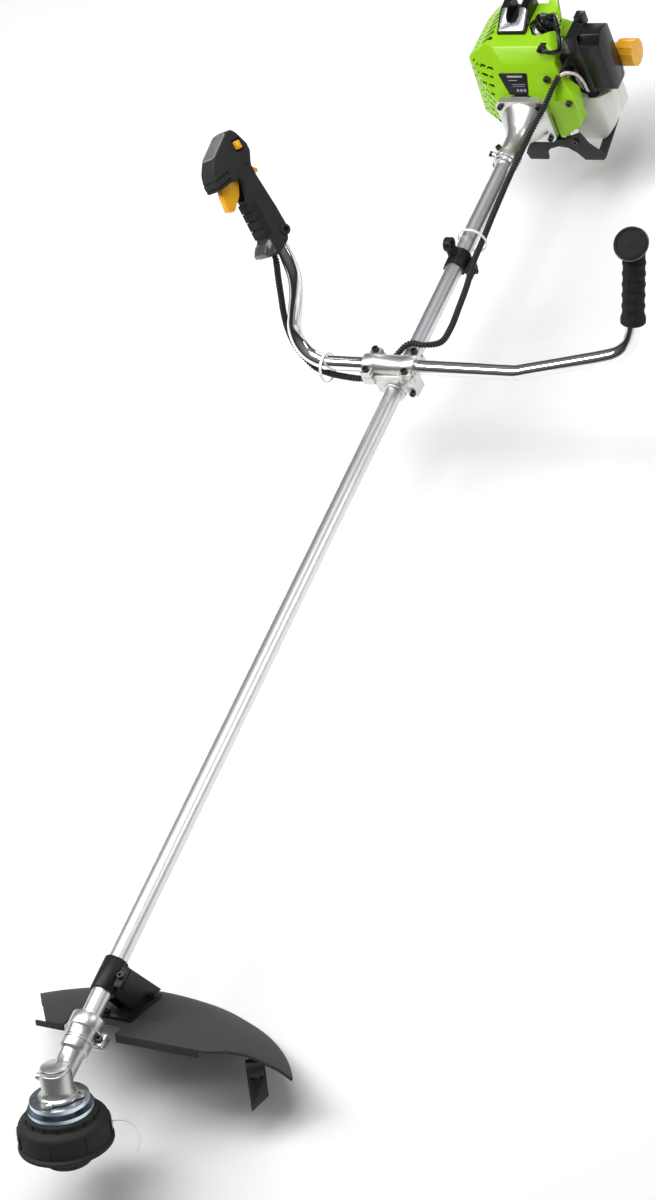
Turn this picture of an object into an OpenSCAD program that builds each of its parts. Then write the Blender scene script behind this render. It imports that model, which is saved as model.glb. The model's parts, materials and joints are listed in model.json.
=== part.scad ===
// Petrol string trimmer with a bicycle handlebar, lying as it is stored.
// +Y runs along the shaft from the cutting head to the engine, +X is the user's left, +Z is up.
// Inside machine() the origin is where the shaft's axis meets the cutting head's axis.
// machine() then moves it to the underside of the engine stand's rear bar, below the shaft's axis.

/* [Shaft] */
// Outer diameter of the shaft tube
tube_d = 26; // [24:0.5:28]
// Wall of the shaft tube
tube_wall = 1.5; // [1.2:0.1:1.8]
// Where the tube starts inside the gearbox collar
tube_start = 46; // [44:1:50]
// Where the tube ends inside the clutch housing
tube_end = 1692; // [1688:1:1696]
// Diameter of the drive shaft
drive_d = 8; // [7:0.5:8]
// Number of bushings that hold the drive shaft
bushing_count = 6; // [4:1:8]

/* [Cutting head] */
// Rim radius of the cutting head
head_r = 61.5; // [60:0.5:63]
// Radius of the upper steel flange
upper_flange_r = 38.5; // [36:0.5:40]
// Radius of the lower steel flange
lower_flange_r = 42.7; // [41:0.1:44]
// Diameter of the nylon line
line_d = 2.4; // [2:0.1:3]

/* [Guard] */
// Radius of the guard's outer bend about the cutting head's axis
guard_r = 250; // [240:1:260]
// Wall of the guard
guard_wall = 3; // [2.5:0.1:4]
// Left end of the guard, in degrees from straight back
guard_left = 40; // [36:1:44]
// Right end of the guard, in degrees from straight back
guard_right = 56; // [52:1:58]

/* [Handlebar] */
// Distance of the handlebar from the cutting head's axis, along the shaft
bar_y = 1195; // [1100:1:1250]
// Height of the handlebar's centre above the shaft's axis
bar_z = 33; // [32:0.5:36]
// Outer diameter of the handlebar tube
bar_d = 22; // [20:0.5:22]
// Backward tilt of the arms
bar_tilt = 25; // [15:1:30]

/* [Engine] */
// Height of the shaft's axis above the stand's feet
stand_drop = 93; // [92:1:100]
// Cylinder bore diameter
bore_d = 40; // [38:0.5:42]

/* [Hidden] */
$fn = 48;

tube_r = tube_d / 2;
drive_r = drive_d / 2;
bar_r = bar_d / 2;
gear_angle = 60;        // between the shaft's axis and the cutting head's axis
spin_tilt = gear_angle - 90;
flange_y = 1745;        // front face of the clutch flange
slip = 0.05;            // radial running clearance of a shaft in its bearing
stand_rear_y = 1885;    // middle of the stand's rear bar

module machine() translate([0, -stand_rear_y, stand_drop]) children();
module spin() machine() rotate([spin_tilt, 0, 0]) children();
module bar_plane() machine() translate([0, bar_y, bar_z]) rotate([-bar_tilt, 0, 0]) children();

// Round bars along the three directions
module rod_x(r, x0, x1, y = 0, z = 0) translate([x0, y, z]) rotate([0, 90, 0]) cylinder(r = r, h = x1 - x0);
module rod_y(r, y0, y1, x = 0, z = 0) translate([x, y0, z]) rotate([-90, 0, 0])
    cylinder(r = r, h = y1 - y0);
module rod_z(r, z0, z1, x = 0, y = 0) translate([x, y, z0]) cylinder(r = r, h = z1 - z0);
// Round taper along Y
module taper_y(r0, r1, y0, y1) translate([0, y0, 0]) rotate([-90, 0, 0])
    cylinder(r1 = r0, r2 = r1, h = y1 - y0);
// Box from its lowest and highest corners
module block(a, b) translate(a) cube(b - a);
// Ring turned about Z
module ring(r0, r1, z0, z1) {
    difference() {
        rod_z(r1, z0, z1);
        rod_z(r0, z0 - 1, z1 + 1);
    }
}
// Ring turned about Y
module ring_y(r0, r1, y0, y1) {
    difference() {
        rod_y(r1, y0, y1);
        rod_y(r0, y0 - 1, y1 + 1);
    }
}
// Outline in the Y and Z directions, given thickness along X
module side_plate(points, x0, x1) translate([x0, 0, 0]) rotate([90, 0, 90])
    linear_extrude(x1 - x0) polygon(points);
// Outline in the X and Z directions, given thickness along Y
module front_plate(points, y0, y1) translate([0, y1, 0]) rotate([90, 0, 0])
    linear_extrude(y1 - y0) polygon(points);
// Outline in the X and Y directions, given thickness along Z
module flat_plate(points, z0, z1) translate([0, 0, z0]) linear_extrude(z1 - z0) polygon(points);
// Cap screw whose head stands on z = 0 and whose shank points down
module cap_screw(r, length, head = 1.7) {
    difference() {
        rod_z(r * head, 0, r * 2);
        translate([0, 0, r]) cylinder(r = r * 0.9, h = r + 1, $fn = 6);
    }
    rod_z(r, -length, 0.01);
}
// A smooth round tube swept along points, closed at both ends
function unit(v) = v / norm(v);
function tangent(p, i) = unit(p[min(i + 1, len(p) - 1)] - p[max(i - 1, 0)]);
function side_of(t, up) = unit(cross(t, up));
function spline(p, i, t) = let (
        a = p[max(i - 1, 0)], b = p[i], c = p[i + 1], d = p[min(i + 2, len(p) - 1)])
    0.5 * (2 * b + (c - a) * t + (2 * a - 5 * b + 4 * c - d) * t * t + (3 * b - a - 3 * c + d) * t * t * t);
function smooth(p, steps) = concat(
    [for (i = [0 : len(p) - 2]) for (k = [0 : steps - 1]) spline(p, i, k / steps)], [p[len(p) - 1]]);
module sweep(path, r, up = [0.31, 0.17, 0.93], sides = 8) {
    n = len(path);
    rings = [for (i = [0 : n - 1]) let (t = tangent(path, i), s = side_of(t, up), u = cross(s, t))
        for (k = [0 : sides - 1]) path[i] + r * (cos(360 * k / sides) * s + sin(360 * k / sides) * u)];
    walls = [for (i = [0 : n - 2]) for (k = [0 : sides - 1]) let (j = (k + 1) % sides)
        [i * sides + k, i * sides + j, (i + 1) * sides + j, (i + 1) * sides + k]];
    ends = [[for (k = [sides - 1 : -1 : 0]) k], [for (k = [0 : sides - 1]) (n - 1) * sides + k]];
    polyhedron(points = rings, faces = concat(walls, ends), convexity = 6);
}

// ---------------------------------------------------------------- gearbox

// Bevel gears of 16 and 20 teeth that share the apex at the origin of machine()
pinion_teeth = 16;
gear_teeth = 20;
cone_r = 20;
pinion_cone = atan(sin(gear_angle) / (gear_teeth / pinion_teeth + cos(gear_angle)));
gear_cone = gear_angle - pinion_cone;
tooth_add = 0.75;
tooth_ded = 1.1;
tooth_half = 0.62;
tooth_inner = 0.68;
module bevel(teeth, cone, turn) {
    root_r = cone_r * sin(cone) - tooth_ded * cos(cone);
    root_z = cone_r * cos(cone) + tooth_ded * sin(cone);
    translate([0, 0, root_z * tooth_inner])
        cylinder(r1 = root_r * tooth_inner, r2 = root_r, h = root_z * (1 - tooth_inner));
    for (k = [0 : teeth - 1]) rotate([0, 0, turn + k * 360 / teeth]) bevel_tooth(cone);
}
function tooth_corner(s, h, t, cone) =
    s * [cone_r * sin(cone) + h * cos(cone), t, cone_r * cos(cone) - h * sin(cone)];
module bevel_tooth(cone) {
    tip_half = tooth_half - 0.32;
    root_half = tooth_half + 0.32;
    low = -tooth_ded - 0.3;
    corners = [for (s = [tooth_inner, 1])
        for (c = [[low, -root_half], [low, root_half], [tooth_add, tip_half], [tooth_add, -tip_half]])
            tooth_corner(s, c[0], c[1], cone)];
    polyhedron(points = corners, faces = [[3, 2, 1, 0], [4, 5, 6, 7], [1, 5, 4, 0], [2, 6, 5, 1],
                                          [3, 7, 6, 2], [0, 4, 7, 3]]);
}

module gearbox_housing() color("silver") difference() {
    union() {
        spin() {
            rod_z(20.5, -12, 20);
            rod_z(19, 20, 23.6);
            rod_z(18, 23.6, 26.6);
            rod_z(26.5, -17, -12);
            for (a = [20, 160, 270]) rotate([0, 0, a]) rod_z(8, -16.5, -12.5, 26);
            rod_x(5, -29, -14, 0, 6);
        }
        machine() {
            rod_y(19, 4, 52);
            taper_y(19, 18, 52, 56);
            rod_y(18, 56, 98);
            rod_y(19.6, 84, 98);
            block([8, 62, -24], [30, 88, -8]);
        }
    }
    spin() {
        rod_z(16, -8, 19);
        rod_z(9.5, 18, 24);
        rod_z(13, -13, -7.9);
        rod_z(8.6, -18, -12.9);
        rod_x(2.5, -30, -13, 0, 6);
        for (a = [20, 160, 270]) rotate([0, 0, a]) rod_z(2.1, -18, -11, 27);
    }
    machine() {
        rod_y(tube_r, 8, 99);
        block([14, 60, -16.6], [31, 90, -15]);
        rod_z(2.6, -25, -7, 24, 75);
    }
}
module bevel_pinion() color("dimgray") machine() rotate([-90, 0, 0]) difference() {
    union() {
        bevel(pinion_teeth, pinion_cone, 180 / pinion_teeth);
        rod_z(6, 15, 45);
    }
    rod_z(drive_r, 26, 46);
}
module bevel_gear() color("dimgray") spin() difference() {
    union() {
        bevel(gear_teeth, gear_cone, 0);
        rod_z(7.5, 15, 18);
    }
    rod_z(5, 5, 19);
}
module output_shaft() color("silver") spin() {
    rod_z(5, -6, 23.6);
    rod_z(6, -16, -6);
    rod_z(8, -36, -16);
    rod_z(5, -58, -36);
}
module gearbox_bearings() color("gray") {
    spin() {
        ring(5 + slip, 9.5, 18.3, 23.8);
        ring(6 + slip, 13, -12.9, -8);
    }
    machine() for (y = [24, 34]) ring_y(6 + slip, 13, y, y + 9);
}

// ---------------------------------------------------------------- cutting head

module upper_flange() color("lightsteelblue") spin() difference() {
    union() {
        rod_z(upper_flange_r, -23.5, -18);
        rod_z(22, -26, -23.5);
    }
    rod_z(8, -27, -17);
}
module lower_flange() color("lightsteelblue") spin() difference() {
    union() {
        rod_z(lower_flange_r, -35.5, -29.5);
        rod_z(24, -29.5, -26);
    }
    rod_z(8, -37, -25);
}
// How far the line's two exits are turned around the head, and where the line passes at a given radius
exit_turn = 40;
function exit_point(r) = [r * cos(exit_turn), r * sin(exit_turn), -66];
// The drum's wall, stepped at the top, with the threaded hub in the middle
module head_housing() color("#1c1c1d") spin() difference() {
    rotate_extrude($fn = 96) polygon([
        [5, -36], [45, -36], [47, -38], [47, -44], [53, -46], [57, -50], [58.5, -53], [58.5, -77],
        [55.5, -77], [55.5, -54], [50, -49], [44, -47], [44, -39], [14, -39], [14, -62], [5, -62]]);
    rotate([0, 0, exit_turn]) rod_x(5, -70, 70, 0, -66);
}
module head_cover() color("#1c1c1d") spin() rotate_extrude($fn = 96) polygon([
    [35, -88], [35, -91], [50, -91], [57, -87], [head_r, -83], [head_r, -79.5], [58, -77],
    [55.5, -77], [55.5, -85], [48, -88]]);
module line_spool() color("#2a2a2c") spin() {
    ring(14 + 0.3, 20, -84, -52);
    for (z = [-54, -69, -84]) ring(20, 50, z, z + 2);
}
module bump_knob() color("#1c1c1d") spin() difference() {
    rotate_extrude($fn = 72) polygon([[0, -88.5], [33, -88.5], [33.5, -91], [33.5, -104], [30, -109],
        [22, -112], [0, -112]]);
    for (a = [0 : 45 : 315]) rotate([0, 0, a]) rod_z(3, -107, -94, 35);
}
spring_turns = 4;
module head_spring() color("gray") spin() sweep(
    [for (i = [0 : 56]) [30 * cos(360 * spring_turns * i / 56), 30 * sin(360 * spring_turns * i / 56),
        -50.5 + 10 * i / 56]], 0.8, [0, 0, 1], 6);
module line_eyelets() color("gainsboro") spin() rotate([0, 0, exit_turn]) for (s = [-1, 1]) difference() {
    union() {
        rod_x(4.95, s > 0 ? 54 : -61, s > 0 ? 61 : -54, 0, -66);
        block([s > 0 ? 58.7 : -60.5, -6, -75], [s > 0 ? 60.5 : -58.7, 6, -57]);
    }
    rod_x(1.8, s > 0 ? 53 : -62, s > 0 ? 62 : -53, 0, -66);
}
// The nylon line's free tail, which curls back from the right-hand eyelet
line_route = [exit_point(52), exit_point(58), exit_point(64), [55, 45, -66.4], [62, 48, -68],
              [69.5, 49, -71], [77, 47, -75.5], [83, 43, -81], [87, 36, -89], [88, 28, -98]];
module trimmer_line() color("white") spin() sweep(smooth(line_route, 3), line_d / 2, [0, 0, 1]);

// ---------------------------------------------------------------- guard

// Radial profile of the guard's outer face, from the inner plate to the skirt's edge
guard_slope = [[90, 18], [190, 18], [218, 14], [238, 7], [guard_r, 0], [264, -10], [280, -22],
               [295, -38]];
module guard_skin(sink) {
    n = len(guard_slope);
    outer = [for (p = guard_slope) p - [0, sink]];
    step_in = sink == 0 ? guard_wall * 0.7 : 0;
    inner = [for (i = [n - 1 : -1 : 0]) guard_slope[i] - [step_in, guard_wall + sink]];
    rotate([0, 0, 90 - guard_right]) rotate_extrude(angle = guard_right + guard_left, $fn = 120)
        polygon(concat(outer, inner));
}
module guard_screw_places() for (x = [-18.5, 18.5]) for (y = [146, 200]) translate([x, y, 0]) children();
module guard() color("#39393b") spin() {
    difference() {
        guard_skin(0);
        block([-160, 0, -60], [200, 106, 40]);
        block([200, 0, -60], [320, 60, 40]);
        block([-62, 90, 0], [20, 128, 40]);
        guard_screw_places() rod_z(2.6, 10, 30);
    }
    // Stiffening lips along the straight front edge
    block([-106, 106, 8], [-62, 109, 15.1]);
    block([20, 106, 6], [145, 109, 15.1]);
    // Block at the right-hand end that carries the line cutter
    rotate([0, 0, 90 - guard_right]) block([238, 0, -42], [262, 12, -8]);
}
module guard_bracket() color("#111111") {
    difference() {
        machine() {
            ring_y(tube_r, 16.5, 138, 184);
            for (x = [-13, 10]) side_plate([[140, -9], [184, -9], [206, -98], [152, -67]], x, x + 3);
            block([14, 146, -6], [26, 176, 6]);
        }
        machine() {
            block([8, 138, -1], [30, 186, 1]);
            rod_z(2.6, -10, 10, 21, 161);
        }
        spin() block([-60, 100, -30], [60, 260, 18.1]);
    }
    spin() difference() {
        block([-24, 138, 18.1], [24, 214, 21]);
        guard_screw_places() rod_z(2.6, 17, 30);
    }
}
module line_cutter() color("dimgray") spin() rotate([0, 0, 90 - guard_right]) difference() {
    front_plate([[238, -16], [262, -16], [262, -56], [238, -76]], -2.2, 0);
    for (x = [244, 256]) rod_y(2.2, -4, 1, x, -28);
}

// ---------------------------------------------------------------- shaft

module shaft_tube() color("lightgray") machine() ring_y(tube_r - tube_wall, tube_r, tube_start, tube_end);
module drive_shaft() color("gray") machine() rod_y(drive_r, 27, 1716);
module drive_bushings() color("dimgray") machine() for (i = [0 : bushing_count - 1])
    let (y = 150 + i * 1400 / (bushing_count - 1))
        ring_y(drive_r + slip, tube_r - tube_wall, y, y + 24);
// Clamp ring with an eye on top, where a shoulder harness hooks on
eye_y = 1440;
eye_z = 34;
module harness_clamp() color("#151515") machine() difference() {
    union() {
        rod_y(16.5, 1422, 1452);
        block([-9, eye_y - 7, 12], [1, eye_y + 7, eye_z]);
        rod_x(11, -9, 1, eye_y, eye_z);
        block([13, 1424, -24], [21, 1450, -2]);
        block([-21, 1424, -24], [-13, 1450, -2]);
    }
    rod_y(tube_r, 1420, 1454);
    rod_x(6, -10, 2, eye_y, eye_z);
    block([-15, 1420, -30], [15, 1454, -12]);
    rod_x(2.6, -23, 23, 1437, -19);
}
module cable_ties() color("white") machine() {
    translate([7, 1480, 0]) ring_y(22, 23.2, 0, 4);
    translate([0, bar_y - 3, bar_z - 8]) rotate([0, 0, -90]) ring_y(21, 22.2, -113, -109);
}

// ---------------------------------------------------------------- handlebar

clamp_half = 42;
module bar_clamp_base() color("gainsboro") machine() difference() {
    union() {
        rod_y(17.5, bar_y - 24, bar_y + 24);
        block([-24, bar_y - 22, 0], [24, bar_y + 22, bar_z - 1]);
        block([-clamp_half, bar_y - 18, bar_z - 12], [clamp_half, bar_y + 18, bar_z - 1]);
        for (x = [-32, 32]) block([x - 9, bar_y - 26, bar_z - 14], [x + 9, bar_y + 26, bar_z - 1]);
        block([14, bar_y - 12, -18], [30, bar_y + 12, 10]);
    }
    rod_y(tube_r, bar_y - 26, bar_y + 26);
    rod_x(bar_r, -60, 60, bar_y, bar_z);
    clamp_screw_holes();
    rod_y(2.6, bar_y - 14, bar_y + 14, 24, -10);
}
module bar_clamp_cap() color("gainsboro") machine() difference() {
    union() {
        rod_x(16.5, -24, 24, bar_y, bar_z);
        for (x = [-32, 32]) {
            rod_x(17.5, x - 10, x + 10, bar_y, bar_z);
            block([x - 8, bar_y - 26, bar_z], [x + 8, bar_y + 26, bar_z + 10]);
        }
    }
    rod_x(bar_r, -60, 60, bar_y, bar_z);
    block([-60, bar_y - 40, -40], [60, bar_y + 40, bar_z]);
    clamp_screw_holes();
}
module clamp_screw_holes() for (x = [-32, 32]) for (y = [-20, 20]) rod_z(2.5, 0, 80, x, bar_y + y);
module clamp_screws() color("#222222") {
    machine() {
        for (x = [-32, 32]) for (y = [-20, 20]) translate([x, bar_y + y, bar_z + 10]) cap_screw(2.5, 24, 2);
        translate([24, bar_y - 12, -10]) rotate([90, 0, 0]) cap_screw(2.6, 24);
        translate([24, 75, -8]) cap_screw(2.6, 16);
        translate([21, 161, 6]) cap_screw(2.6, 12);
        translate([21, 1437, -19]) rotate([0, 90, 0]) cap_screw(2.6, 42);
        for (a = clutch_angles) rotate([0, a, 0]) translate([0, 1655, 25]) cap_screw(2.2, 12, 2);
    }
    spin() guard_screw_places() translate([0, 0, 21]) cap_screw(2.6, 8);
}
// Centre line of the handlebar: across the shaft, sideways, then up and down through both arms
bar_route = [[-160, 0, 191.6], [-154, 0, 176], [-146, 0, 155], [-141, 0, 132], [-143, 0, 105], [-151, 0, 75],
             [-156, 0, 52], [-152, 0, 30], [-140, 0, 13], [-122, 0, 3], [-104, 0, 0], [-92, 0, 0]];
bar_right = [[182, 0, 0], [194, 0, 0], [206, 0, 1], [224, 0, 5], [290, 0, 19], [345, 0, 31], [368, 0, 39],
             [383, 0, 52],
             [391, 0, 70], [395, 0, 92]];
module handlebar() color("silver") {
    machine() translate([0, bar_y, bar_z]) rod_x(bar_r, -100, 190);
    bar_plane() {
        sweep(smooth(bar_route, 2), bar_r - 0.15, [0, 1, 0], 12);
        sweep(smooth(bar_right, 2), bar_r - 0.15, [0, 1, 0], 12);
    }
    right_grip_frame() rod_z(bar_r, -6, 118);
    handle_frame() rod_z(bar_r, -6, 62);
}
module right_grip_frame() bar_plane() translate([395, 0, 92]) rotate([0, 8, 0]) children();
module left_grip() color("#1a1a1a") right_grip_frame() difference() {
    union() {
        rod_z(17.5, -8, 4);
        rod_z(15.5, 4, 100);
        for (z = [18 : 16 : 98]) translate([0, 0, z]) rotate_extrude() translate([13.7, 0]) circle(r = 2.6);
        translate([0, 0, 100]) cylinder(r1 = 15.5, r2 = 19, h = 8);
        translate([0, 6, 116]) rotate([-42, 0, 0]) translate([0, 0, -4]) cylinder(r = 24, h = 8);
        rod_z(19, 108, 116);
    }
    rod_z(bar_r, -20, 119);
}

// ---------------------------------------------------------------- throttle handle

// The handle's own frame: +Z along the grip, -Y towards the fingers
handle_foot = [-154, 0, 176];
handle_lean = 21;
handle_turn = 20;
module handle_frame() bar_plane() translate(handle_foot) rotate([0, -handle_lean, 0])
    rotate([0, 0, -handle_turn])
    children();
module handle_outline() polygon([
    [8, 8], [18, 27], [16, 60], [10, 112], [8, 130], [18, 148], [18, 160], [10, 180], [4, 188],
    [-6, 188], [-46, 163], [-57, 148], [-62, 132], [-62, 118], [-38, 121], [-20, 121], [-18, 112],
    [-24, 90], [-23, 60], [-25, 26], [-31, 18], [-39, 9], [-38, 2], [-17, -3]]);
trigger_pivot = [0, -20, 136];
lockout_pivot = [0, 1, 124];
module handle_body(x0, x1) difference() {
    translate([x0, 0, 0]) rotate([90, 0, 90]) linear_extrude(x1 - x0) handle_outline();
    rod_z(bar_r, -10, 62);
    // Hollow behind the trigger
    block([-7.5, -56, 88], [7.5, -8, 148]);
    // Passage for the cable
    rod_z(5.2, -10, 60, 0, -17.5);
    block([-4, -22, 58], [4, -10, 90]);
    // Opening for the lock-out lever at the back and the stop switch on the side
    block([-6.5, -5, 112], [6.5, 20, 136]);
    block([10, -6, 155], [19, 8, 173]);
}
module throttle_shell_left() color("#1d1d1e") handle_frame() difference() {
    handle_body(0, 18);
    block([15, -70, -10], [30, 30, 116]);
    rod_x(2.5, 10, 40, 9, 24);
}
module throttle_shell_right() color("#1d1d1e") handle_frame() difference() {
    handle_body(-18, 0);
    block([-30, -70, -10], [-15, 30, 116]);
}
module throttle_trigger() color("orange") handle_frame() difference() {
    union() {
        side_plate([[-28, 140], [-14, 140], [-13, 130], [-20, 112], [-28, 98], [-47, 82], [-56, 86],
                    [-54, 105], [-50, 122], [-34, 134]], -6, 6);
        rod_x(6, -6, 6, trigger_pivot[1], trigger_pivot[2]);
    }
    rod_x(2 + slip, -7, 7, trigger_pivot[1], trigger_pivot[2]);
}
module lockout_lever() color("orange") handle_frame() difference() {
    union() {
        side_plate([[1, 120], [12, 115], [21, 115], [22, 120], [12, 127], [1, 128]], -5, 5);
        rod_x(4.5, -5, 5, lockout_pivot[1], lockout_pivot[2]);
    }
    rod_x(1.5 + slip, -6, 6, lockout_pivot[1], lockout_pivot[2]);
}
module stop_switch() color("orange") handle_frame() {
    block([18.2, -3, 158], [22, 5, 169]);
    block([12, -4, 158.5], [18.3, 6, 170]);
}
module lever_pins() color("silver") handle_frame() {
    rod_x(2, -7.5, 7.5, trigger_pivot[1], trigger_pivot[2]);
    rod_x(1.5, -6.5, 6.5, lockout_pivot[1], lockout_pivot[2]);
}

// ---------------------------------------------------------------- control cable and conduit

// Route from the handle's foot, behind the handlebar's bend, under the bar and up the shaft
conduit_route = [[-163, 1257, 205], [-157, 1250, 192], [-158, 1246, 180], [-162, 1240, 157],
                 [-167, 1234, 128],
                 [-172, 1228, 99], [-174, 1222, 69], [-170, 1216, 44], [-158, 1209, 25], [-140, 1201, 13],
                 [-113, 1193, 11], [-80, 1187, 12], [-52, 1186, 12], [-36, 1200, 8], [-26, 1225, 6],
                 [0, 1248, 22], [26, 1250, 20], [42, 1268, 8], [44, 1300, 4], [40, 1340, 2], [34, 1390, 0],
                 [26, 1440, 0], [24, 1480, 0], [21, 1540, 1], [20, 1610, 4], [24, 1648, 10], [25, 1689, 12],
                 [34, 1721, 23], [49, 1733, 42], [58, 1750, 56], [70, 1763, 72]];
module control_conduit() color("#101010") machine() sweep(smooth(conduit_route, 2), 4);
cable_route = [[71.2, 1764.3, 73.2], [75, 1778, 78], [76, 1792, 78], [73, 1804, 72], [68, 1812, 64]];
module throttle_cable() color("#101010") machine() sweep(smooth(cable_route, 3), 2);

// ---------------------------------------------------------------- clutch and crank

clutch_angles = [-15, -65, -115];       // the clamp's screws, round the shaft from straight up
module clutch_housing() color("gainsboro") machine() difference() {
    union() {
        rod_y(17.5, 1640, 1700);
        rod_y(20, 1646, 1664);
        taper_y(17.5, 21, 1694, 1708);
        taper_y(21, 38, 1708, 1738);
        intersection() {
            rod_y(54, flange_y - 7, flange_y + 5);
            block([-42, flange_y - 7, -42], [42, flange_y + 5, 42]);
        }
        for (a = clutch_angles) rotate([0, a, 0]) rod_z(5, 12, 25, 0, 1655);
    }
    rod_y(tube_r, 1639, tube_end);
    rod_y(7, 1690, 1750);
    taper_y(17, 33, 1708, 1738);
    rod_y(33, 1737.9, 1760);
    for (x = [-33, 33]) for (z = [-33, 33]) rod_y(2.6, 1730, 1760, x, z);
    for (a = clutch_angles) rotate([0, a, 0]) rod_z(2.2, tube_r, 26, 0, 1655);
    rotate([0, 160, 0]) block([-2, 1638, 12], [2, 1668, 24]);
}
module clutch_drum() color("gray") machine() difference() {
    union() {
        rod_y(27, 1729, 1748);
        rod_y(9, 1712, 1730);
    }
    rod_y(24.8, 1732, 1749);
    rod_y(drive_r, 1700, 1720);
}
module clutch_shoes() color("dimgray") machine() difference() {
    ring_y(9, 24.2, 1734, 1747);
    for (a = [0, 90]) rotate([0, a, 0]) block([-1.5, 1733, -40], [1.5, 1748, 40]);
}
crank_y = 1826;
module flywheel() color("silver") machine() difference() {
    union() {
        rod_y(40, 1756, 1764);
        rod_y(14, 1750, 1776);
        for (a = [0 : 24 : 336]) rotate([0, a, 0]) block([-1.2, 1762, 16], [1.2, 1776, 38]);
    }
    rod_y(6, 1749, 1777);
}
module crankshaft() color("gray") machine() {
    rod_y(6, 1749, 1812);
    rod_y(9, 1734, 1750);
    rod_y(21, 1812, 1819);
    rod_y(5, 1818, 1834, 0, 13);
    rod_y(21, 1833, 1840);
    rod_y(6, 1839, 1874);
}
module crankcase() color("gainsboro") machine() difference() {
    union() {
        rod_y(32, 1786, 1866);
        block([-30, 1806, 0], [30, 1846, 36]);
        block([-34, 1786, -38], [34, 1866, -24]);
    }
    rod_y(22, 1811, 1841);
    rod_y(6 + slip, 1780, 1870);
    rod_z(bore_d / 2, 0, 37, 0, crank_y);
}
// Spark plug, leaning to the side and a little to the rear; its seat is measured from the chamber's roof
plug_lean = 50;
plug_turn = 24;
plug_seat = 27;
module plug_place() translate([0, crank_y, 80]) rotate([0, plug_lean, plug_turn]) children();
module cylinder_block() color("silver") machine() difference() {
    union() {
        rod_z(25, 36, 88, 0, crank_y);
        plug_place() rod_z(12.5, -4, plug_seat);
        for (z = [40 : 7 : 89]) block([-38, crank_y - 34, z], [38, crank_y + 34, z + 2]);
        block([24, crank_y - 13, 44], [46, crank_y + 13, 66]);
        block([-44, crank_y - 13, 44], [-24, crank_y + 13, 66]);
    }
    rod_z(bore_d / 2, 30, 84, 0, crank_y);
    plug_place() rod_z(5, 13, plug_seat + 1);
    rod_z(2, 80, 90, 9, crank_y + 4);
    rod_x(7, 0, 50, crank_y, 55);
    rod_x(9, -50, 0, crank_y, 55);
}
piston_r = bore_d / 2 - slip;
module piston() color("lightgray") machine() translate([0, crank_y, 0]) difference() {
    rod_z(piston_r, 57, 83);
    rod_z(piston_r - 3, 56, 78);
    for (z = [78.5, 80.5]) ring(piston_r - 1, piston_r + 1, z, z + 1.2);
}
module spark_plug() color("white") machine() plug_place() {
    rod_z(4.9, 13.5, plug_seat);
    rod_z(8, plug_seat, 32);
    rod_z(5, 32, 43);
    rod_z(2.5, 43, 47);
}

// ---------------------------------------------------------------- engine covers

shroud_front = [[-98, -24], [-98, 78], [-50, 112], [40, 112], [62, 96], [62, 30], [58, -40], [40, -46],
                [-36, -46], [-46, -14]];
shroud_lobe = [[30, -44], [46, -44], [84, -20], [90, 38], [74, 58], [63, 84], [60, 96], [30, 96]];
// Cover screws: x, y of the seat, z
cover_screws = [[48, 1765, 66], [80, 1750, 30]];
shroud_side = [[1750, -60], [1750, 34], [1784, 97], [1796, 104], [1900, 120], [1900, -60]];
shroud_plan = [[-98, 1740], [62, 1740], [62, 1835], [30, 1900], [-86, 1900], [-98, 1884]];
// Two slanted panels at the front's left side meet at this corner
panel_corner = [-45, 1750, 24];
panel_upper = [-0.327, -0.825, 0.46];
panel_lower = [-0.629, -0.771, 0.1];
module behind(point, n) translate(point) rotate([0, acos(n[2] / norm(n)), atan2(n[1], n[0])])
    block([-200, -200, -400], [200, 200, 0]);
function shrink(points, d, mid) = [for (p = points) p + d * unit(mid - p)];
module shroud_box(d) intersection() {
    front_plate(shrink(shroud_front, d, [-20, 30]), 1740 + d, 1910);
    side_plate([for (p = shroud_side) p + [d * 1.2, -d]], -99, 70);
    flat_plate(shrink(shroud_plan, d, [-10, 1830]), -60, 130);
    behind(panel_corner - d * unit(panel_upper), panel_upper);
    behind(panel_corner - d * unit(panel_lower), panel_lower);
}
module engine_shroud() color("#7cc80a") machine() difference() {
    union() {
        shroud_box(0);
        intersection() {
            front_plate(shroud_lobe, 1750, 1778);
            side_plate([[1750, -60], [1750, 34], [1779, 92], [1779, -60]], 20, 100);
        }
    }
    difference() {
        shroud_box(3);
        block([62, 1700, -70], [100, 1760, 120]);
    }
    translate([0, 60, 0]) shroud_box(3);
    intersection() {
        front_plate(shrink(shroud_lobe, 4, [58, 30]), 1754, 1779);
        side_plate([[1754, -60], [1754, 31], [1783, 87], [1783, -60]], 62, 100);
    }
    // Opening for the clutch housing
    rod_y(43, 1740, 1762);
    block([-43, 1740, -60], [43, 1762, 0]);
    // Opening for the carburettor, the plug and the top cover
    block([40, 1795, -50], [70, 1901, 81]);
    block([10, 1866, -50], [70, 1901, 79]);
    block([6, 1812, 80], [70, 1868, 125]);
    block([34, 1788, 84], [46, 1802, 115]);
    block([-44, 1818, 90], [4, 1901, 130]);
    block([-60, 1786, -70], [60, 1901, -39]);
    // Notch at the rear for the starter handle's path
    block([-30, 1884, 79], [20, 1901, 130]);
    for (p = cover_screws) {
        rod_y(2.6, p[1] - 1, p[1] + 12, p[0], p[2]);
        rod_y(6.5, p[1] - 20, p[1], p[0], p[2]);
    }
    shroud_slots();
}
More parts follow.
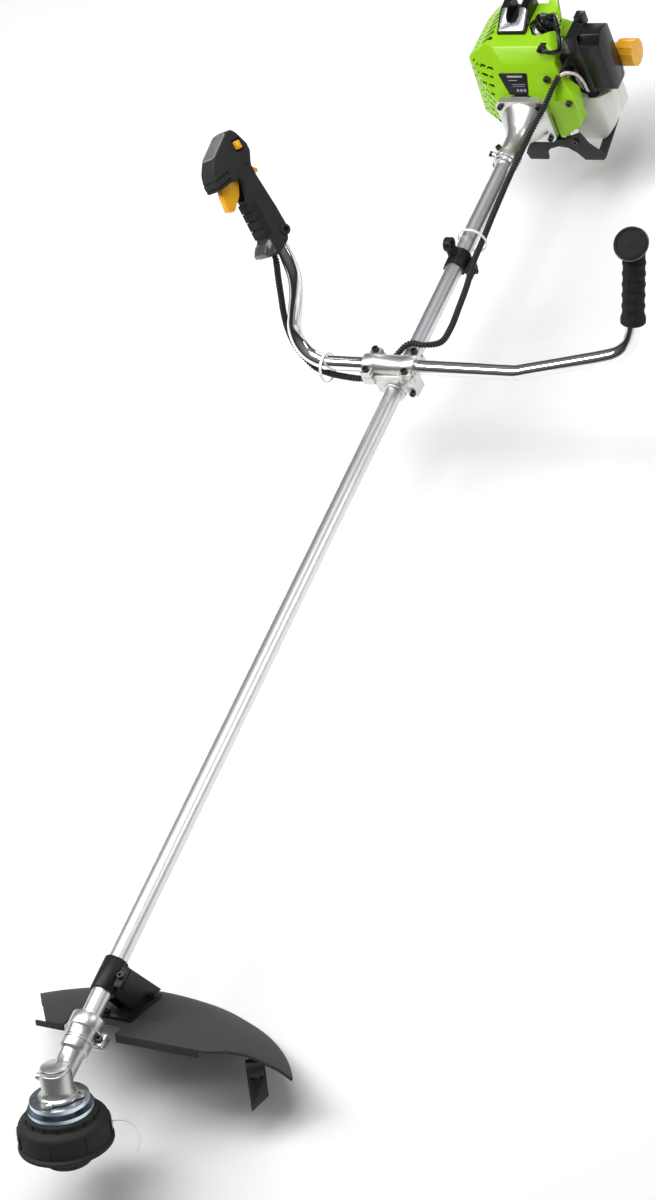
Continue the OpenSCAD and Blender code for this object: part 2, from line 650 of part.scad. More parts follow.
// Cooling slots through the slanted panels
module shroud_slots() {
    for (z = [-6 : 13 : 72]) translate([-70, 1772, z]) rotate([0, 0, -40]) block([-8, -16, 0], [8, 16, 4]);
    for (y = [1812 : 13 : 1864]) translate([-62, y, 102]) rotate([0, -35, 0]) block([-9, 0, -8], [9, 5, 8]);
}
module top_cover() color("#1b1b1c") machine() difference() {
    side_plate([[1818, 100], [1818, 112], [1850, 130], [1884, 134], [1884, 104], [1850, 104]], -44, 4);
    side_plate([[1822, 96], [1822, 110], [1852, 126], [1881, 130], [1881, 96]], -40, 0);
}
plug_route = [[40, 1844, 116], [52, 1838, 126], [58, 1827, 117], [63, 1812, 103], [66.5, 1795, 97],
              [59, 1782, 103], [50, 1781, 107], [44, 1787, 105], [40, 1793, 99], [38, 1795, 92]];
module plug_lead() color("#111111") machine() {
    plug_place() difference() {
        union() {
            rod_z(11, 33, 58);
            rod_z(19, 45, 48);
            rod_z(16, 51, 54);
        }
        rod_z(5, 32, 47.2);
    }
    sweep(smooth(plug_route, 3), 3);
}
muffler_front = [[-92, 18], [-45, 18], [-45, 88], [-70, 88], [-92, 72]];
module muffler() color("dimgray") machine() difference() {
    front_plate(muffler_front, 1812, 1864);
    front_plate(shrink(muffler_front, 2.5, [-68, 54]), 1814, 1862);
    rod_x(9, -50, -40, crank_y + 6, 55);
}
starter_y = 1868;
module starter_housing() color("#7cc80a") machine() difference() {
    union() {
        rod_y(42, starter_y, 1906);
        intersection() {
            rod_y(70, starter_y, 1902);
            front_plate([[-58, -4], [-58, 78], [39, 78], [39, -36], [-30, -36], [-38, -4]], starter_y, 1902);
        }
        block([-20, 1880, 40], [10, 1904, 86]);
    }
    rod_y(38, starter_y - 1, 1902);
    for (a = [0 : 45 : 315]) rotate([0, a, 0]) block([-3, 1900, 18], [3, 1910, 38]);
    rod_z(3, 40, 90, -5, 1892);
}
module starter_handle() color("#1a1a1a") machine() {
    rod_z(2, 46, 90, -5, 1892);
    hull() for (x = [-22, 12]) rod_z(6, 88, 98, x, 1892);
}

// ---------------------------------------------------------------- fuel and air

carb_z = 55;
module carburettor() color("silver") machine() difference() {
    union() {
        block([47, crank_y - 14, 38], [76, crank_y + 14, 74]);
        rod_z(9, 74, 79, 62, crank_y);
        rod_x(12, 76, 84, crank_y, carb_z);
    }
    rod_x(7, 40, 86, crank_y, carb_z);
    rod_y(2 + slip, crank_y - 16, crank_y + 16, 70, 44);
    rod_y(4.8, 1808, 1820, 64, 46);
    rod_y(3.4, 1808, 1820, 68, 64);
}
module choke_lever() color("#1a1a1a") machine() {
    rod_y(2, crank_y + 1, crank_y + 18, 70, 44);
    block([66, crank_y + 15, 40], [74, crank_y + 18, 48]);
    block([67, crank_y + 15, 47], [73, crank_y + 18, 66]);
}
filter_low = [84, 1794, 10];
filter_high = [138, 1838, 120];
module filter_base() color("#141414") machine() difference() {
    union() {
        block(filter_low, [104, filter_high[1], filter_high[2]]);
        block([90, 1828, 112], [104, 1844, 132]);
    }
    block(filter_low + [3, 3, 3], [105, filter_high[1] - 3, filter_high[2] - 3]);
    rod_x(8, 80, 110, crank_y, carb_z);
}
filter_side = [[1794, 18], [1802, 10], [1832, 10], [1838, 26], [1838, 112], [1829, 120], [1804, 120],
               [1794, 106]];
module filter_cover() color("#101010") machine() difference() {
    side_plate(filter_side, 104, filter_high[0]);
    side_plate(shrink(filter_side, 3, [1816, 67]), 103, filter_high[0] - 3);
}
module filter_element() color("khaki") machine() block([106, 1801, 24], [132, 1831, 106]);
tank_side = [[44, -90], [88, -90], [112, -64], [118, -30], [118, -4], [44, -4]];
tank_plan = [[44, 1796], [100, 1796], [118, 1812], [118, 1852], [106, 1872], [44, 1872]];
tank_neck = [[86, -10], [118, -10], [118, 40], [112, 56], [94, 56], [86, 44]];
cap_y = 1862;
cap_z = 31;
module tank_body(d) intersection() {
    front_plate(shrink(tank_side, d, [82, -46]), 1790 + d, 1880 - d);
    flat_plate(shrink(tank_plan, d, [82, 1834]), -91, -3 - d);
}
module fuel_tank() color("#f2f2ec") machine() difference() {
    union() {
        tank_body(0);
        front_plate(tank_neck, 1846, 1872);
        rod_x(13, 117, 133, cap_y, cap_z);
    }
    tank_body(3);
    front_plate(shrink(tank_neck, 3, [102, 22]), 1849, 1869);
    rod_x(10.5, 108, 135, cap_y, cap_z);
}
module fuel_cap() color("orange") machine() translate([0, cap_y, cap_z]) {
    difference() {
        union() {
            rod_x(21, 127, 155);
            for (a = [0 : 30 : 330]) rotate([a, 0, 0]) rod_x(2.6, 131, 155, 19.2);
        }
        rod_x(13 + slip, 126, 133.2);
        rod_x(17, 126, 129);
    }
    rod_x(10, 122, 134);
}
fuel_route = [[86, 1803, 2], [80, 1802, 3], [74, 1801, 10], [71, 1801, 20], [68, 1803, 30], [66, 1807, 38],
              [64, 1813, 46]];
module fuel_lines() color("#181818") machine() {
    rod_z(9, -4, 7, 90, 1806);
    sweep(smooth(fuel_route, 2), 2.4);
}
// U-shaped stand that carries the engine when the machine lies down
foot_z = -stand_drop;
stand_front = [[-31, foot_z + 14], [-28, foot_z], [4, foot_z], [6, -80], [14, -70], [30, -65], [46, -68],
               [58, -78], [68, foot_z], [100, foot_z], [104, foot_z + 8], [82, -60], [74, -38], [46, -50],
               [-6, -50]];
module engine_stand() color("#3a3a3c") machine() {
    difference() {
        front_plate(stand_front, 1752, 1757);
        rod_y(2.6, 1751, 1758, 64, -52);
    }
    block([-31, 1757, foot_z], [-25, 1888, foot_z + 16]);
    // Flat runner that passes under the tank
    translate([0, 0, foot_z]) linear_extrude(2.4) polygon([[86, 1755], [102, 1755], [88, 1888], [74, 1888]]);
    block([-31, 1882, foot_z], [88, 1888, foot_z + 10]);
    block([-30, 1757, -52], [40, 1786, -47.5]);
    for (x = [-31, 30]) block([x, 1780, foot_z], [x + 6, 1786, -47.5]);
}
module engine_screws() color("#202020") machine() {
    for (x = [-33, 33]) for (z = [-33, 33]) translate([x, flange_y - 7, z]) rotate([90, 0, 0])
        cap_screw(2.6, 11);
    for (p = cover_screws) translate(p) rotate([90, 0, 0]) cap_screw(2.6, 3.9, 2);
    translate([64, 1752, -52]) rotate([90, 0, 0]) cap_screw(2.6, 4.9, 2);
}

gearbox_housing();
bevel_pinion();
bevel_gear();
output_shaft();
gearbox_bearings();
upper_flange();
lower_flange();
head_housing();
head_cover();
line_spool();
bump_knob();
head_spring();
line_eyelets();
trimmer_line();
guard();
guard_bracket();
line_cutter();
shaft_tube();
drive_shaft();
drive_bushings();
harness_clamp();
cable_ties();
bar_clamp_base();
bar_clamp_cap();
clamp_screws();
handlebar();
left_grip();
throttle_shell_left();
throttle_shell_right();
throttle_trigger();
lockout_lever();
stop_switch();
lever_pins();
control_conduit();
throttle_cable();
clutch_housing();
clutch_drum();
clutch_shoes();
flywheel();
crankcase();
crankshaft();
piston();
cylinder_block();
engine_shroud();
top_cover();
spark_plug();
plug_lead();
starter_housing();
starter_handle();
muffler();
carburettor();
choke_lever();
filter_base();
filter_cover();
filter_element();
fuel_tank();
fuel_cap();
fuel_lines();
engine_stand();
engine_screws();
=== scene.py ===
"""A petrol string trimmer with a bicycle handlebar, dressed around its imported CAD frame."""
import json
import math

import bmesh
import bpy
from mathutils import Matrix, Vector


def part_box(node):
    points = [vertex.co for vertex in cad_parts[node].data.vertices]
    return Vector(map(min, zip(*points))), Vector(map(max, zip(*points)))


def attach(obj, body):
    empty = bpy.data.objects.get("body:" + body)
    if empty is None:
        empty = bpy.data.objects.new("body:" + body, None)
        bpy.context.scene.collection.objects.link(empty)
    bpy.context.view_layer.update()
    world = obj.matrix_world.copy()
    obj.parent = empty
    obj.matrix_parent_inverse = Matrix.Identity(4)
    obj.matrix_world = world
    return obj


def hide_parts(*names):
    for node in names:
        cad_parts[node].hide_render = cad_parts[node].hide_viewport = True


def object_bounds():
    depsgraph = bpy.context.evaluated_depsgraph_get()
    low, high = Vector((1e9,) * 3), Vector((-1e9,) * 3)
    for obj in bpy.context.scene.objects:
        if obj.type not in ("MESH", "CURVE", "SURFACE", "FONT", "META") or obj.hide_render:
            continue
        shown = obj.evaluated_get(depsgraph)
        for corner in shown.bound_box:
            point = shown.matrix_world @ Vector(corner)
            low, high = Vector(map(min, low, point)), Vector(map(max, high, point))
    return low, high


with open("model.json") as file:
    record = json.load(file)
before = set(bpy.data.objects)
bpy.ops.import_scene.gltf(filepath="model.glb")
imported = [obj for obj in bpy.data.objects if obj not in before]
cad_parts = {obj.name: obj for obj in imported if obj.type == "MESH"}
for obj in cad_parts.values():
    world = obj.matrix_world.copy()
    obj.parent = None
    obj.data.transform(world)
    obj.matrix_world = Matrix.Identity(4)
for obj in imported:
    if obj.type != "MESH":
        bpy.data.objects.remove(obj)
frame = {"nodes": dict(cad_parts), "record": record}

NODES = frame["nodes"]
CAD_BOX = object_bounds()
MM = 0.001


def degrees(angle, axis):
    return Matrix.Rotation(math.radians(angle), 4, axis)


def shift(x, y, z):
    return Matrix.Translation((x, y, z))


# ---------------------------------------------------------------- frames, in millimetres
# MACHINE has its origin where the shaft's axis meets the cutting head's axis, as in the CAD.
TUBE_LOW, TUBE_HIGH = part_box("shaft_tube")
TUBE_START = 46
HEAD_LEAN = 30      # degrees between the cutting head's axis and the square to the shaft
SHAFT_AXIS = (TUBE_LOW + TUBE_HIGH) / 2
MACHINE = shift(SHAFT_AXIS.x, TUBE_LOW.y - TUBE_START * MM, SHAFT_AXIS.z) @ Matrix.Scale(MM, 4)
SPIN = MACHINE @ degrees(-HEAD_LEAN, "X")
BAR_PLANE = MACHINE @ shift(0, 1195, 33) @ degrees(-25, "X")
HANDLE = BAR_PLANE @ shift(-154, 0, 176) @ degrees(-21, "Y") @ degrees(-20, "Z")
GRIP = BAR_PLANE @ shift(395, 0, 92) @ degrees(8, "Y")


# ---------------------------------------------------------------- camera, light and floor
CAMERA_PLACE = Vector((2132, -1310, 2915))      # millimetres, in the machine's frame
CAMERA_RIGHT = Vector((0.8611, 0.3732, -0.3453)).normalized()
CAMERA_UP = Vector((-0.0874, 0.7777, 0.6226))
CAMERA_LENS, CAMERA_SENSOR = 90, 36


def make_camera():
    back = CAMERA_RIGHT.cross(CAMERA_UP).normalized()
    turn = Matrix((CAMERA_RIGHT, back.cross(CAMERA_RIGHT).normalized(), back)).transposed().to_4x4()
    data = bpy.data.cameras.new("camera")
    data.sensor_fit = "VERTICAL"
    data.sensor_height = CAMERA_SENSOR
    data.lens = CAMERA_LENS
    data.clip_end = 100
    camera = bpy.data.objects.new("camera", data)
    camera.matrix_world = Matrix.Translation(MACHINE @ CAMERA_PLACE) @ turn
    bpy.context.scene.collection.objects.link(camera)
    bpy.context.scene.camera = camera


LIGHT_AIM = Vector((0, -0.9, 0.1))
LIGHTS = [
    # name, place in metres, width, height, watts
    ("key", (-1.7, -1.5, 2.8), 1.1, 2.2, 64),
    ("fill", (2.6, 0.4, 1.6), 0.8, 1.8, 19),
    ("top", (0.2, -0.7, 3.6), 2.2, 2.2, 64),
    ("back", (-0.6, 2.8, 1.6), 1.4, 1.4, 22),
]
SKY = [(0.1, 0.05), (0.95, 0.38)]       # height on the ramp, grey
SKY_TINT = (0.97, 0.98, 1)


def area_light(name, place, width, height, power):
    data = bpy.data.lights.new(name, "AREA")
    data.shape = "RECTANGLE"
    data.size = width
    data.size_y = height
    data.energy = power
    lamp = bpy.data.objects.new(name, data)
    turn = (LIGHT_AIM - Vector(place)).to_track_quat("-Z", "Y").to_matrix().to_4x4()
    lamp.matrix_world = Matrix.Translation(place) @ turn
    bpy.context.scene.collection.objects.link(lamp)


def make_light():
    world = bpy.data.worlds.new("studio")
    world.use_nodes = True
    tree = world.node_tree
    place = tree.nodes.new("ShaderNodeTexCoord")
    split = tree.nodes.new("ShaderNodeSeparateXYZ")
    sky = tree.nodes.new("ShaderNodeValToRGB")
    for k, (height, grey) in enumerate(SKY):
        sky.color_ramp.elements[k].position = height
        sky.color_ramp.elements[k].color = (*[grey * tint for tint in SKY_TINT], 1)
    tree.links.new(place.outputs["Generated"], split.inputs["Vector"])
    tree.links.new(split.outputs["Z"], sky.inputs["Fac"])
    tree.links.new(sky.outputs["Color"], tree.nodes["Background"].inputs["Color"])
    bpy.context.scene.world = world
    for light in LIGHTS:
        area_light(*light)
    bpy.context.scene.view_settings.view_transform = "Standard"
    bpy.context.scene.view_settings.gamma = 0.86


FLOOR_HALF = 12
FLOOR_GAP = 0.001


def make_floor():
    lowest = CAD_BOX[0][2]
    half = FLOOR_HALF
    mesh = bpy.data.meshes.new("floor")
    corners = [(-half, -half, 0), (half, -half, 0), (half, half, 0), (-half, half, 0)]
    mesh.from_pydata(corners, [], [(0, 1, 2, 3)])
    floor = bpy.data.objects.new("floor", mesh)
    floor.location = (0, 0, lowest - FLOOR_GAP)
    bpy.context.scene.collection.objects.link(floor)
    floor.data.materials.append(surface("floor_paper", (0.93, 0.93, 0.93), 0.75, tone=0.01, tone_size=300))


# ---------------------------------------------------------------- materials
def surface(name, colour, rough, metal=0.0, tone=0.06, tone_size=18, grain=0.0, grain_size=0.5, spread=0.06,
            along=(1, 1, 1), coat=0.0, wear=0.0, through=0.0):
    """A procedural material. Sizes are in millimetres: tone is the colour's drift, grain the bump's height,
    spread the drift of the roughness, along a stretch of both, wear the brightening of sharp edges."""
    made = bpy.data.materials.get(name)
    if made:
        return made
    material = bpy.data.materials.new(name)
    material.use_nodes = True
    tree = material.node_tree
    shader = tree.nodes["Principled BSDF"]
    shader.inputs["Metallic"].default_value = metal
    shader.inputs["Specular IOR Level"].default_value = 0.1 if max(colour) < 0.03 else 0.5
    shader.inputs["Coat Weight"].default_value = coat
    shader.inputs["Coat Roughness"].default_value = 0.08
    if through:
        shader.inputs["Subsurface Weight"].default_value = through
        shader.inputs["Subsurface Radius"].default_value = (0.006, 0.005, 0.004)
    place = tree.nodes.new("ShaderNodeTexCoord")
    mapping = tree.nodes.new("ShaderNodeMapping")
    mapping.inputs["Scale"].default_value = along
    tree.links.new(place.outputs["Object"], mapping.inputs["Vector"])
    drift = tree.nodes.new("ShaderNodeTexNoise")
    drift.inputs["Scale"].default_value = 1 / (tone_size * MM)
    drift.inputs["Detail"].default_value = 5
    tree.links.new(mapping.outputs["Vector"], drift.inputs["Vector"])
    ramp = tree.nodes.new("ShaderNodeValToRGB")
    dark = [c * (1 - tone) for c in colour]
    light = [min(c * (1 + tone), 1) for c in colour]
    ramp.color_ramp.elements[0].position = 0.3
    ramp.color_ramp.elements[0].color = (*dark, 1)
    ramp.color_ramp.elements[1].position = 0.7
    ramp.color_ramp.elements[1].color = (*light, 1)
    tree.links.new(drift.outputs["Fac"], ramp.inputs["Fac"])
    colour_out = ramp.outputs["Color"]
    if wear:
        geometry = tree.nodes.new("ShaderNodeNewGeometry")
        edge = tree.nodes.new("ShaderNodeMapRange")
        edge.inputs["From Min"].default_value = 0.53
        edge.inputs["From Max"].default_value = 0.62
        edge.inputs["To Max"].default_value = wear
        tree.links.new(geometry.outputs["Pointiness"], edge.inputs["Value"])
        mix = tree.nodes.new("ShaderNodeMix")
        mix.data_type = "RGBA"
        mix.inputs["B"].default_value = (*[min(c * 1.8 + 0.08, 1) for c in colour], 1)
        tree.links.new(edge.outputs["Result"], mix.inputs["Factor"])
        tree.links.new(colour_out, mix.inputs["A"])
        colour_out = mix.outputs["Result"]
    tree.links.new(colour_out, shader.inputs["Base Color"])
    rougher = tree.nodes.new("ShaderNodeMapRange")
    rougher.inputs["To Min"].default_value = max(rough - spread, 0.02)
    rougher.inputs["To Max"].default_value = rough + spread
    tree.links.new(drift.outputs["Fac"], rougher.inputs["Value"])
    tree.links.new(rougher.outputs["Result"], shader.inputs["Roughness"])
    if grain:
        fine = tree.nodes.new("ShaderNodeTexNoise")
        fine.inputs["Scale"].default_value = 1 / (grain_size * MM)
        fine.inputs["Detail"].default_value = 3
        tree.links.new(mapping.outputs["Vector"], fine.inputs["Vector"])
        bump = tree.nodes.new("ShaderNodeBump")
        bump.inputs["Distance"].default_value = grain * MM
        bump.inputs["Strength"].default_value = 1
        tree.links.new(fine.outputs["Fac"], bump.inputs["Height"])
        tree.links.new(bump.outputs["Normal"], shader.inputs["Normal"])
    return material


def cast_aluminium():
    return surface("cast_aluminium", (0.42, 0.415, 0.40), 0.52, 0.9, tone=0.1, grain=0.09, grain_size=0.9, wear=0.3)


def shaft_aluminium():
    return surface("shaft_aluminium", (0.27, 0.272, 0.275), 0.18, 1.0, tone=0.04, tone_size=4, grain=0.006,
                   grain_size=0.35, along=(1, 0.02, 1))


def chrome():
    return surface("chrome_plate", (0.86, 0.87, 0.88), 0.07, 1.0, tone=0.02, tone_size=40, spread=0.02)


def zinc():
    return surface("blue_zinc", (0.74, 0.82, 0.88), 0.24, 1.0, tone=0.05, tone_size=9, grain=0.01, grain_size=0.6)


def steel():
    return surface("ground_steel", (0.5, 0.5, 0.51), 0.3, 1.0, tone=0.08, grain=0.01, grain_size=0.4)


def blade_steel():
    return surface("blade_steel", (0.06, 0.057, 0.054), 0.4, 0.8, tone=0.15, grain=0.02, grain_size=0.7, wear=0.4)


def black_steel():
    return surface("black_oxide", (0.045, 0.042, 0.04), 0.36, 0.8, tone=0.2, tone_size=5, grain=0.02, wear=0.5)


def black_nylon():
    return surface("black_nylon", (0.011, 0.011, 0.012), 0.3, tone=0.15, grain=0.03, grain_size=0.6, wear=0.12)


def guard_plastic():
    return surface("guard_plastic", (0.045, 0.045, 0.048), 0.36, tone=0.12, tone_size=60, grain=0.012,
                   grain_size=0.7, wear=0.2)


def stand_plastic():
    return surface("stand_plastic", (0.032, 0.031, 0.035), 0.45, tone=0.1, grain=0.03, grain_size=0.45, wear=0.15)


def black_paint():
    return surface("black_paint", (0.012, 0.012, 0.013), 0.12, tone=0.1, coat=0.6, grain=0.012, grain_size=2.5)


def grip_rubber():
    return surface("grip_rubber", (0.016, 0.0155, 0.0165), 0.5, tone=0.15, grain=0.03, grain_size=0.35, wear=0.1)


def handle_plastic():
    return surface("handle_plastic", (0.012, 0.012, 0.0135), 0.34, tone=0.15, grain=0.025, grain_size=0.35, wear=0.15)


def black_gloss():
    return surface("black_gloss", (0.005, 0.005, 0.006), 0.12, tone=0.12, coat=0.12, grain=0.006, grain_size=2.2,
                   wear=0.1)


def black_rubber():
    return surface("black_rubber", (0.011, 0.011, 0.012), 0.3, tone=0.15, grain=0.02, grain_size=0.5)


def green_plastic():
    return surface("green_plastic", (0.21, 0.47, 0.003), 0.2, tone=0.05, tone_size=50, coat=0.3, grain=0.008,
                   grain_size=2.0, spread=0.04, wear=0.12, through=0.05)


def amber_plastic():
    return surface("amber_plastic", (1.0, 0.45, 0.01), 0.3, tone=0.05, coat=0.2, grain=0.008, grain_size=1.5,
                   through=0.25)


def tank_plastic():
    return surface("tank_plastic", (0.86, 0.86, 0.84), 0.38, tone=0.03, tone_size=45, grain=0.02, grain_size=1.2,
                   through=0.6)


def white_nylon():
    return surface("white_nylon", (0.86, 0.87, 0.86), 0.3, tone=0.03, grain=0.01, through=0.3)


def ceramic():
    return surface("ceramic", (0.85, 0.84, 0.8), 0.15, tone=0.03, coat=0.5, grain=0.004)


def engine_aluminium():
    return surface("engine_aluminium", (0.24, 0.24, 0.235), 0.5, 0.9, tone=0.12, grain=0.08, grain_size=0.8)


def muffler_steel():
    return surface("muffler_steel", (0.08, 0.075, 0.07), 0.5, 0.5, tone=0.3, tone_size=14, grain=0.03)


def foam():
    return surface("oiled_foam", (0.42, 0.33, 0.10), 0.9, tone=0.25, tone_size=2, grain=0.4, grain_size=1.2)


SLOT_MATERIALS = {
    "cast_aluminium": cast_aluminium, "shaft_aluminium": shaft_aluminium, "gear_steel": steel,
    "bearing_steel": steel, "zinc_steel": zinc, "black_screws": black_steel, "chrome_bar": chrome,
    "black_nylon": black_nylon, "guard_plastic": guard_plastic, "black_paint": black_paint,
    "stand_plastic": stand_plastic, "grip_rubber": grip_rubber, "handle_plastic": handle_plastic,
    "amber_plastic": amber_plastic, "green_plastic": green_plastic, "black_gloss": black_gloss,
    "tank_plastic": tank_plastic, "white_nylon": white_nylon, "black_rubber": black_rubber,
    "ceramic": ceramic, "engine_aluminium": engine_aluminium, "muffler_steel": muffler_steel, "foam": foam,
}
NODE_SLOTS = {part["node"]: part["material_slot"] for part in frame["record"]["subparts"]}
NODE_BODIES = {node: body for body, nodes in frame["record"]["behaviour"]["bodies"].items() for node in nodes}


def paint(obj, material):
    obj.data.materials.clear()
    obj.data.materials.append(material)


def paint_cad_nodes():
    for node, obj in NODES.items():
        paint(obj, SLOT_MATERIALS[NODE_SLOTS[node]]())


# ---------------------------------------------------------------- mesh helpers, in millimetres
def make_object(name, bm):
    mesh = bpy.data.meshes.new(name)
    bmesh.ops.recalc_face_normals(bm, faces=bm.faces)
    bm.to_mesh(mesh)
    bm.free()
    obj = bpy.data.objects.new(name, mesh)
    bpy.context.scene.collection.objects.link(obj)
    return obj


def apply_modifiers(obj):
    bpy.context.view_layer.update()
    result = bpy.data.meshes.new_from_object(obj.evaluated_get(bpy.context.evaluated_depsgraph_get()))
    obj.modifiers.clear()
    obj.data = result
    return obj


def boolean(obj, other, operation):
    modifier = obj.modifiers.new("boolean", "BOOLEAN")
    modifier.operation = operation
    modifier.solver = "MANIFOLD"
    modifier.object = other
    apply_modifiers(obj)
    bpy.data.objects.remove(other)
    return obj


def cut(obj, *others):
    for other in others:
        boolean(obj, other, "DIFFERENCE")
    return obj


def join(obj, *others):
    for other in others:
        boolean(obj, other, "UNION")
    return obj


def overlap(obj, *others):
    for other in others:
        boolean(obj, other, "INTERSECT")
    return obj


def round_edges(obj, width, steps=3, limit=25):
    modifier = obj.modifiers.new("bevel", "BEVEL")
    modifier.width = width
    modifier.segments = steps
    modifier.limit_method = "ANGLE"
    modifier.angle_limit = math.radians(limit)
    return apply_modifiers(obj)


def prism(outline, low, high, axis="X"):
    """Closed outline given thickness along one axis. The outline's two numbers are the other two axes in order."""
    order = {"X": lambda a, b, t: (t, a, b), "Y": lambda a, b, t: (a, t, b), "Z": lambda a, b, t: (a, b, t)}[axis]
    bm = bmesh.new()
    rings = [[bm.verts.new(order(a, b, t)) for a, b in outline] for t in (low, high)]
    bm.faces.new(rings[0])
    bm.faces.new(rings[1])
    for i in range(len(outline)):
        j = (i + 1) % len(outline)
        bm.faces.new((rings[0][i], rings[0][j], rings[1][j], rings[1][i]))
    return make_object("prism", bm)


def block(low, high):
    corners = [(low[1], low[2]), (high[1], low[2]), (high[1], high[2]), (low[1], high[2])]
    return prism(corners, low[0], high[0], "X")


def lathe(profile, steps=64, frame_matrix=None):
    """Closed profile of (radius, height) points turned about Z."""
    bm = bmesh.new()
    rings = []
    for radius, height in profile:
        if radius < 1e-6:
            rings.append([bm.verts.new((0, 0, height))] * steps)
        else:
            rings.append([bm.verts.new((radius * math.cos(2 * math.pi * k / steps),
                                        radius * math.sin(2 * math.pi * k / steps), height)) for k in range(steps)])
    for a, b in zip(rings, rings[1:] + rings[:1]):
        for k in range(steps):
            corners = []
            for vert in (a[k], a[(k + 1) % steps], b[(k + 1) % steps], b[k]):
                if vert not in corners:
                    corners.append(vert)
            if len(corners) > 2:
                bm.faces.new(corners)
    if frame_matrix:
        bmesh.ops.transform(bm, matrix=frame_matrix, verts=bm.verts)
    return make_object("lathe", bm)


def rod(radius, start, end, steps=32):
    """A straight round bar between two points."""
    start, end = Vector(start), Vector(end)
    turn = (end - start).to_track_quat("Z", "Y").to_matrix().to_4x4()
    length = (end - start).length
    return lathe([(0, 0), (radius, 0), (radius, length), (0, length)], steps, Matrix.Translation(start) @ turn)


def smooth_path(points, steps):
    """A Catmull-Rom curve through the points."""
    points = [Vector(p) for p in points]
    path = []
    for i in range(len(points) - 1):
        before = points[max(i - 1, 0)]
        here, there = points[i], points[i + 1]
        after = points[min(i + 2, len(points) - 1)]
        for k in range(steps):
            t = k / steps
            path.append(0.5 * (2 * here + (there - before) * t
                               + (2 * before - 5 * here + 4 * there - after) * t * t
                               + (3 * here - before - 3 * there + after) * t ** 3))
    return path + [points[-1]]


def even_path(path, gap):
    """The same line, with points a fixed distance apart."""
    length = sum((b - a).length for a, b in zip(path, path[1:]))
    count = max(int(round(length / gap)), 2)
    step = length / count
    out, travelled, wanted = [path[0]], 0.0, step
    for a, b in zip(path, path[1:]):
        stretch = (b - a).length
        while wanted <= travelled + stretch + 1e-9 and len(out) < count:
            out.append(a.lerp(b, (wanted - travelled) / stretch))
            wanted += step
        travelled += stretch
    return out + [path[-1]]


TUBE_SIDE = Vector((0.31, 0.17, 0.93))      # any direction that no path starts in


def tube(path, radius, sides=16):
    """A closed tube along a path. radius is a number, or a function of the ring's and the side's index."""
    radius_at = radius if callable(radius) else lambda ring, side: radius
    bm = bmesh.new()
    rings = []
    side = TUBE_SIDE
    for i, point in enumerate(path):
        ahead = (path[min(i + 1, len(path) - 1)] - path[max(i - 1, 0)]).normalized()
        side = (side - ahead * side.dot(ahead)).normalized()
        other = ahead.cross(side)
        rings.append([bm.verts.new(point + radius_at(i, k) * (math.cos(2 * math.pi * k / sides) * side
                                                             + math.sin(2 * math.pi * k / sides) * other))
                      for k in range(sides)])
    for a, b in zip(rings, rings[1:]):
        for k in range(sides):
            bm.faces.new((a[k], a[(k + 1) % sides], b[(k + 1) % sides], b[k]))
    bm.faces.new(rings[0])
    bm.faces.new(rings[-1])
    return make_object("tube", bm)


def finish_piece(obj, name, place, body, slot, replaced=(), sharp=35, material=None):
    """Puts a piece made in millimetres into the row frame, and gives it its finish, its slot's material unless
    another is given, and its body.
    """
    obj.name = name
    obj.data.name = name
    obj.data.transform(place)
    for polygon in obj.data.polygons:
        polygon.use_smooth = True
    obj.data.set_sharp_from_angle(angle=math.radians(sharp))
    paint(obj, material or SLOT_MATERIALS[slot]())
    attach(obj, body)
    if replaced:
        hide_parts(*replaced)
    return obj


def softened(node, width):
    """The CAD node's own shape with rounded edges, as a moulding or a casting has them."""
    source = NODES[node].data.copy()
    for extra in ("custom_normal", "sharp_edge", "sharp_face"):
        if extra in source.attributes:
            source.attributes.remove(source.attributes[extra])
    bm = bmesh.new()
    bm.from_mesh(source)
    bmesh.ops.remove_doubles(bm, verts=bm.verts, dist=1e-5)
    bmesh.ops.dissolve_limit(bm, angle_limit=math.radians(0.6), verts=bm.verts, edges=bm.edges)
    bmesh.ops.scale(bm, vec=(1000, 1000, 1000), verts=bm.verts)
    obj = round_edges(make_object("softened", bm), width, 2, 30)
    finish_piece(obj, node + "_finish", Matrix.Scale(MM, 4), NODE_BODIES[node], NODE_SLOTS[node], [node], sharp=40,
                 material=blade_steel() if node == "line_cutter" else None)


# ---------------------------------------------------------------- the trimmer line, a cord riding on the head
LINE_DIAMETER = 0.0024      # metres
EXIT_TURN = 40              # degrees from the machine's X to the two line exits
LINE_ROUTE = [degrees(EXIT_TURN, "Z") @ Vector((r, 0, -66)) for r in (52, 58, 64)]
LINE_ROUTE += [(55, 45, -66.4), (62, 48, -68), (69.5, 49, -71), (77, 47, -75.5), (83, 43, -81), (87, 36, -89),
               (88, 28, -98)]


def make_line():
    path = even_path(smooth_path(LINE_ROUTE, 6), 1.5)
    line = tube(path, LINE_DIAMETER / MM / 2, 12)
    finish_piece(line, "line_tail", SPIN, "head", "white_nylon", ["trimmer_line"], sharp=60)


# ---------------------------------------------------------------- handlebar, conduit and grips
BAR_RADIUS = 11
BAR_LEFT = [(-172, 0, 223), (-160, 0, 191.6), (-154, 0, 176), (-146, 0, 155), (-141, 0, 132), (-143, 0, 105),
            (-151, 0, 75), (-156, 0, 52), (-152, 0, 30), (-140, 0, 13), (-122, 0, 3), (-104, 0, 0), (-92, 0, 0)]
BAR_RIGHT = [(182, 0, 0), (194, 0, 0), (206, 0, 1), (224, 0, 5), (290, 0, 19), (345, 0, 31), (368, 0, 39),
             (383, 0, 52), (391, 0, 70), (395, 0, 92), (401, 0, 134), (408, 0, 184), (411, 0, 206)]


def make_handlebar():
    path = even_path(smooth_path(BAR_LEFT + BAR_RIGHT, 8), 5)
    finish_piece(tube(path, BAR_RADIUS, 40), "handlebar_tube", BAR_PLANE, "frame", "chrome_bar", ["handlebar"])


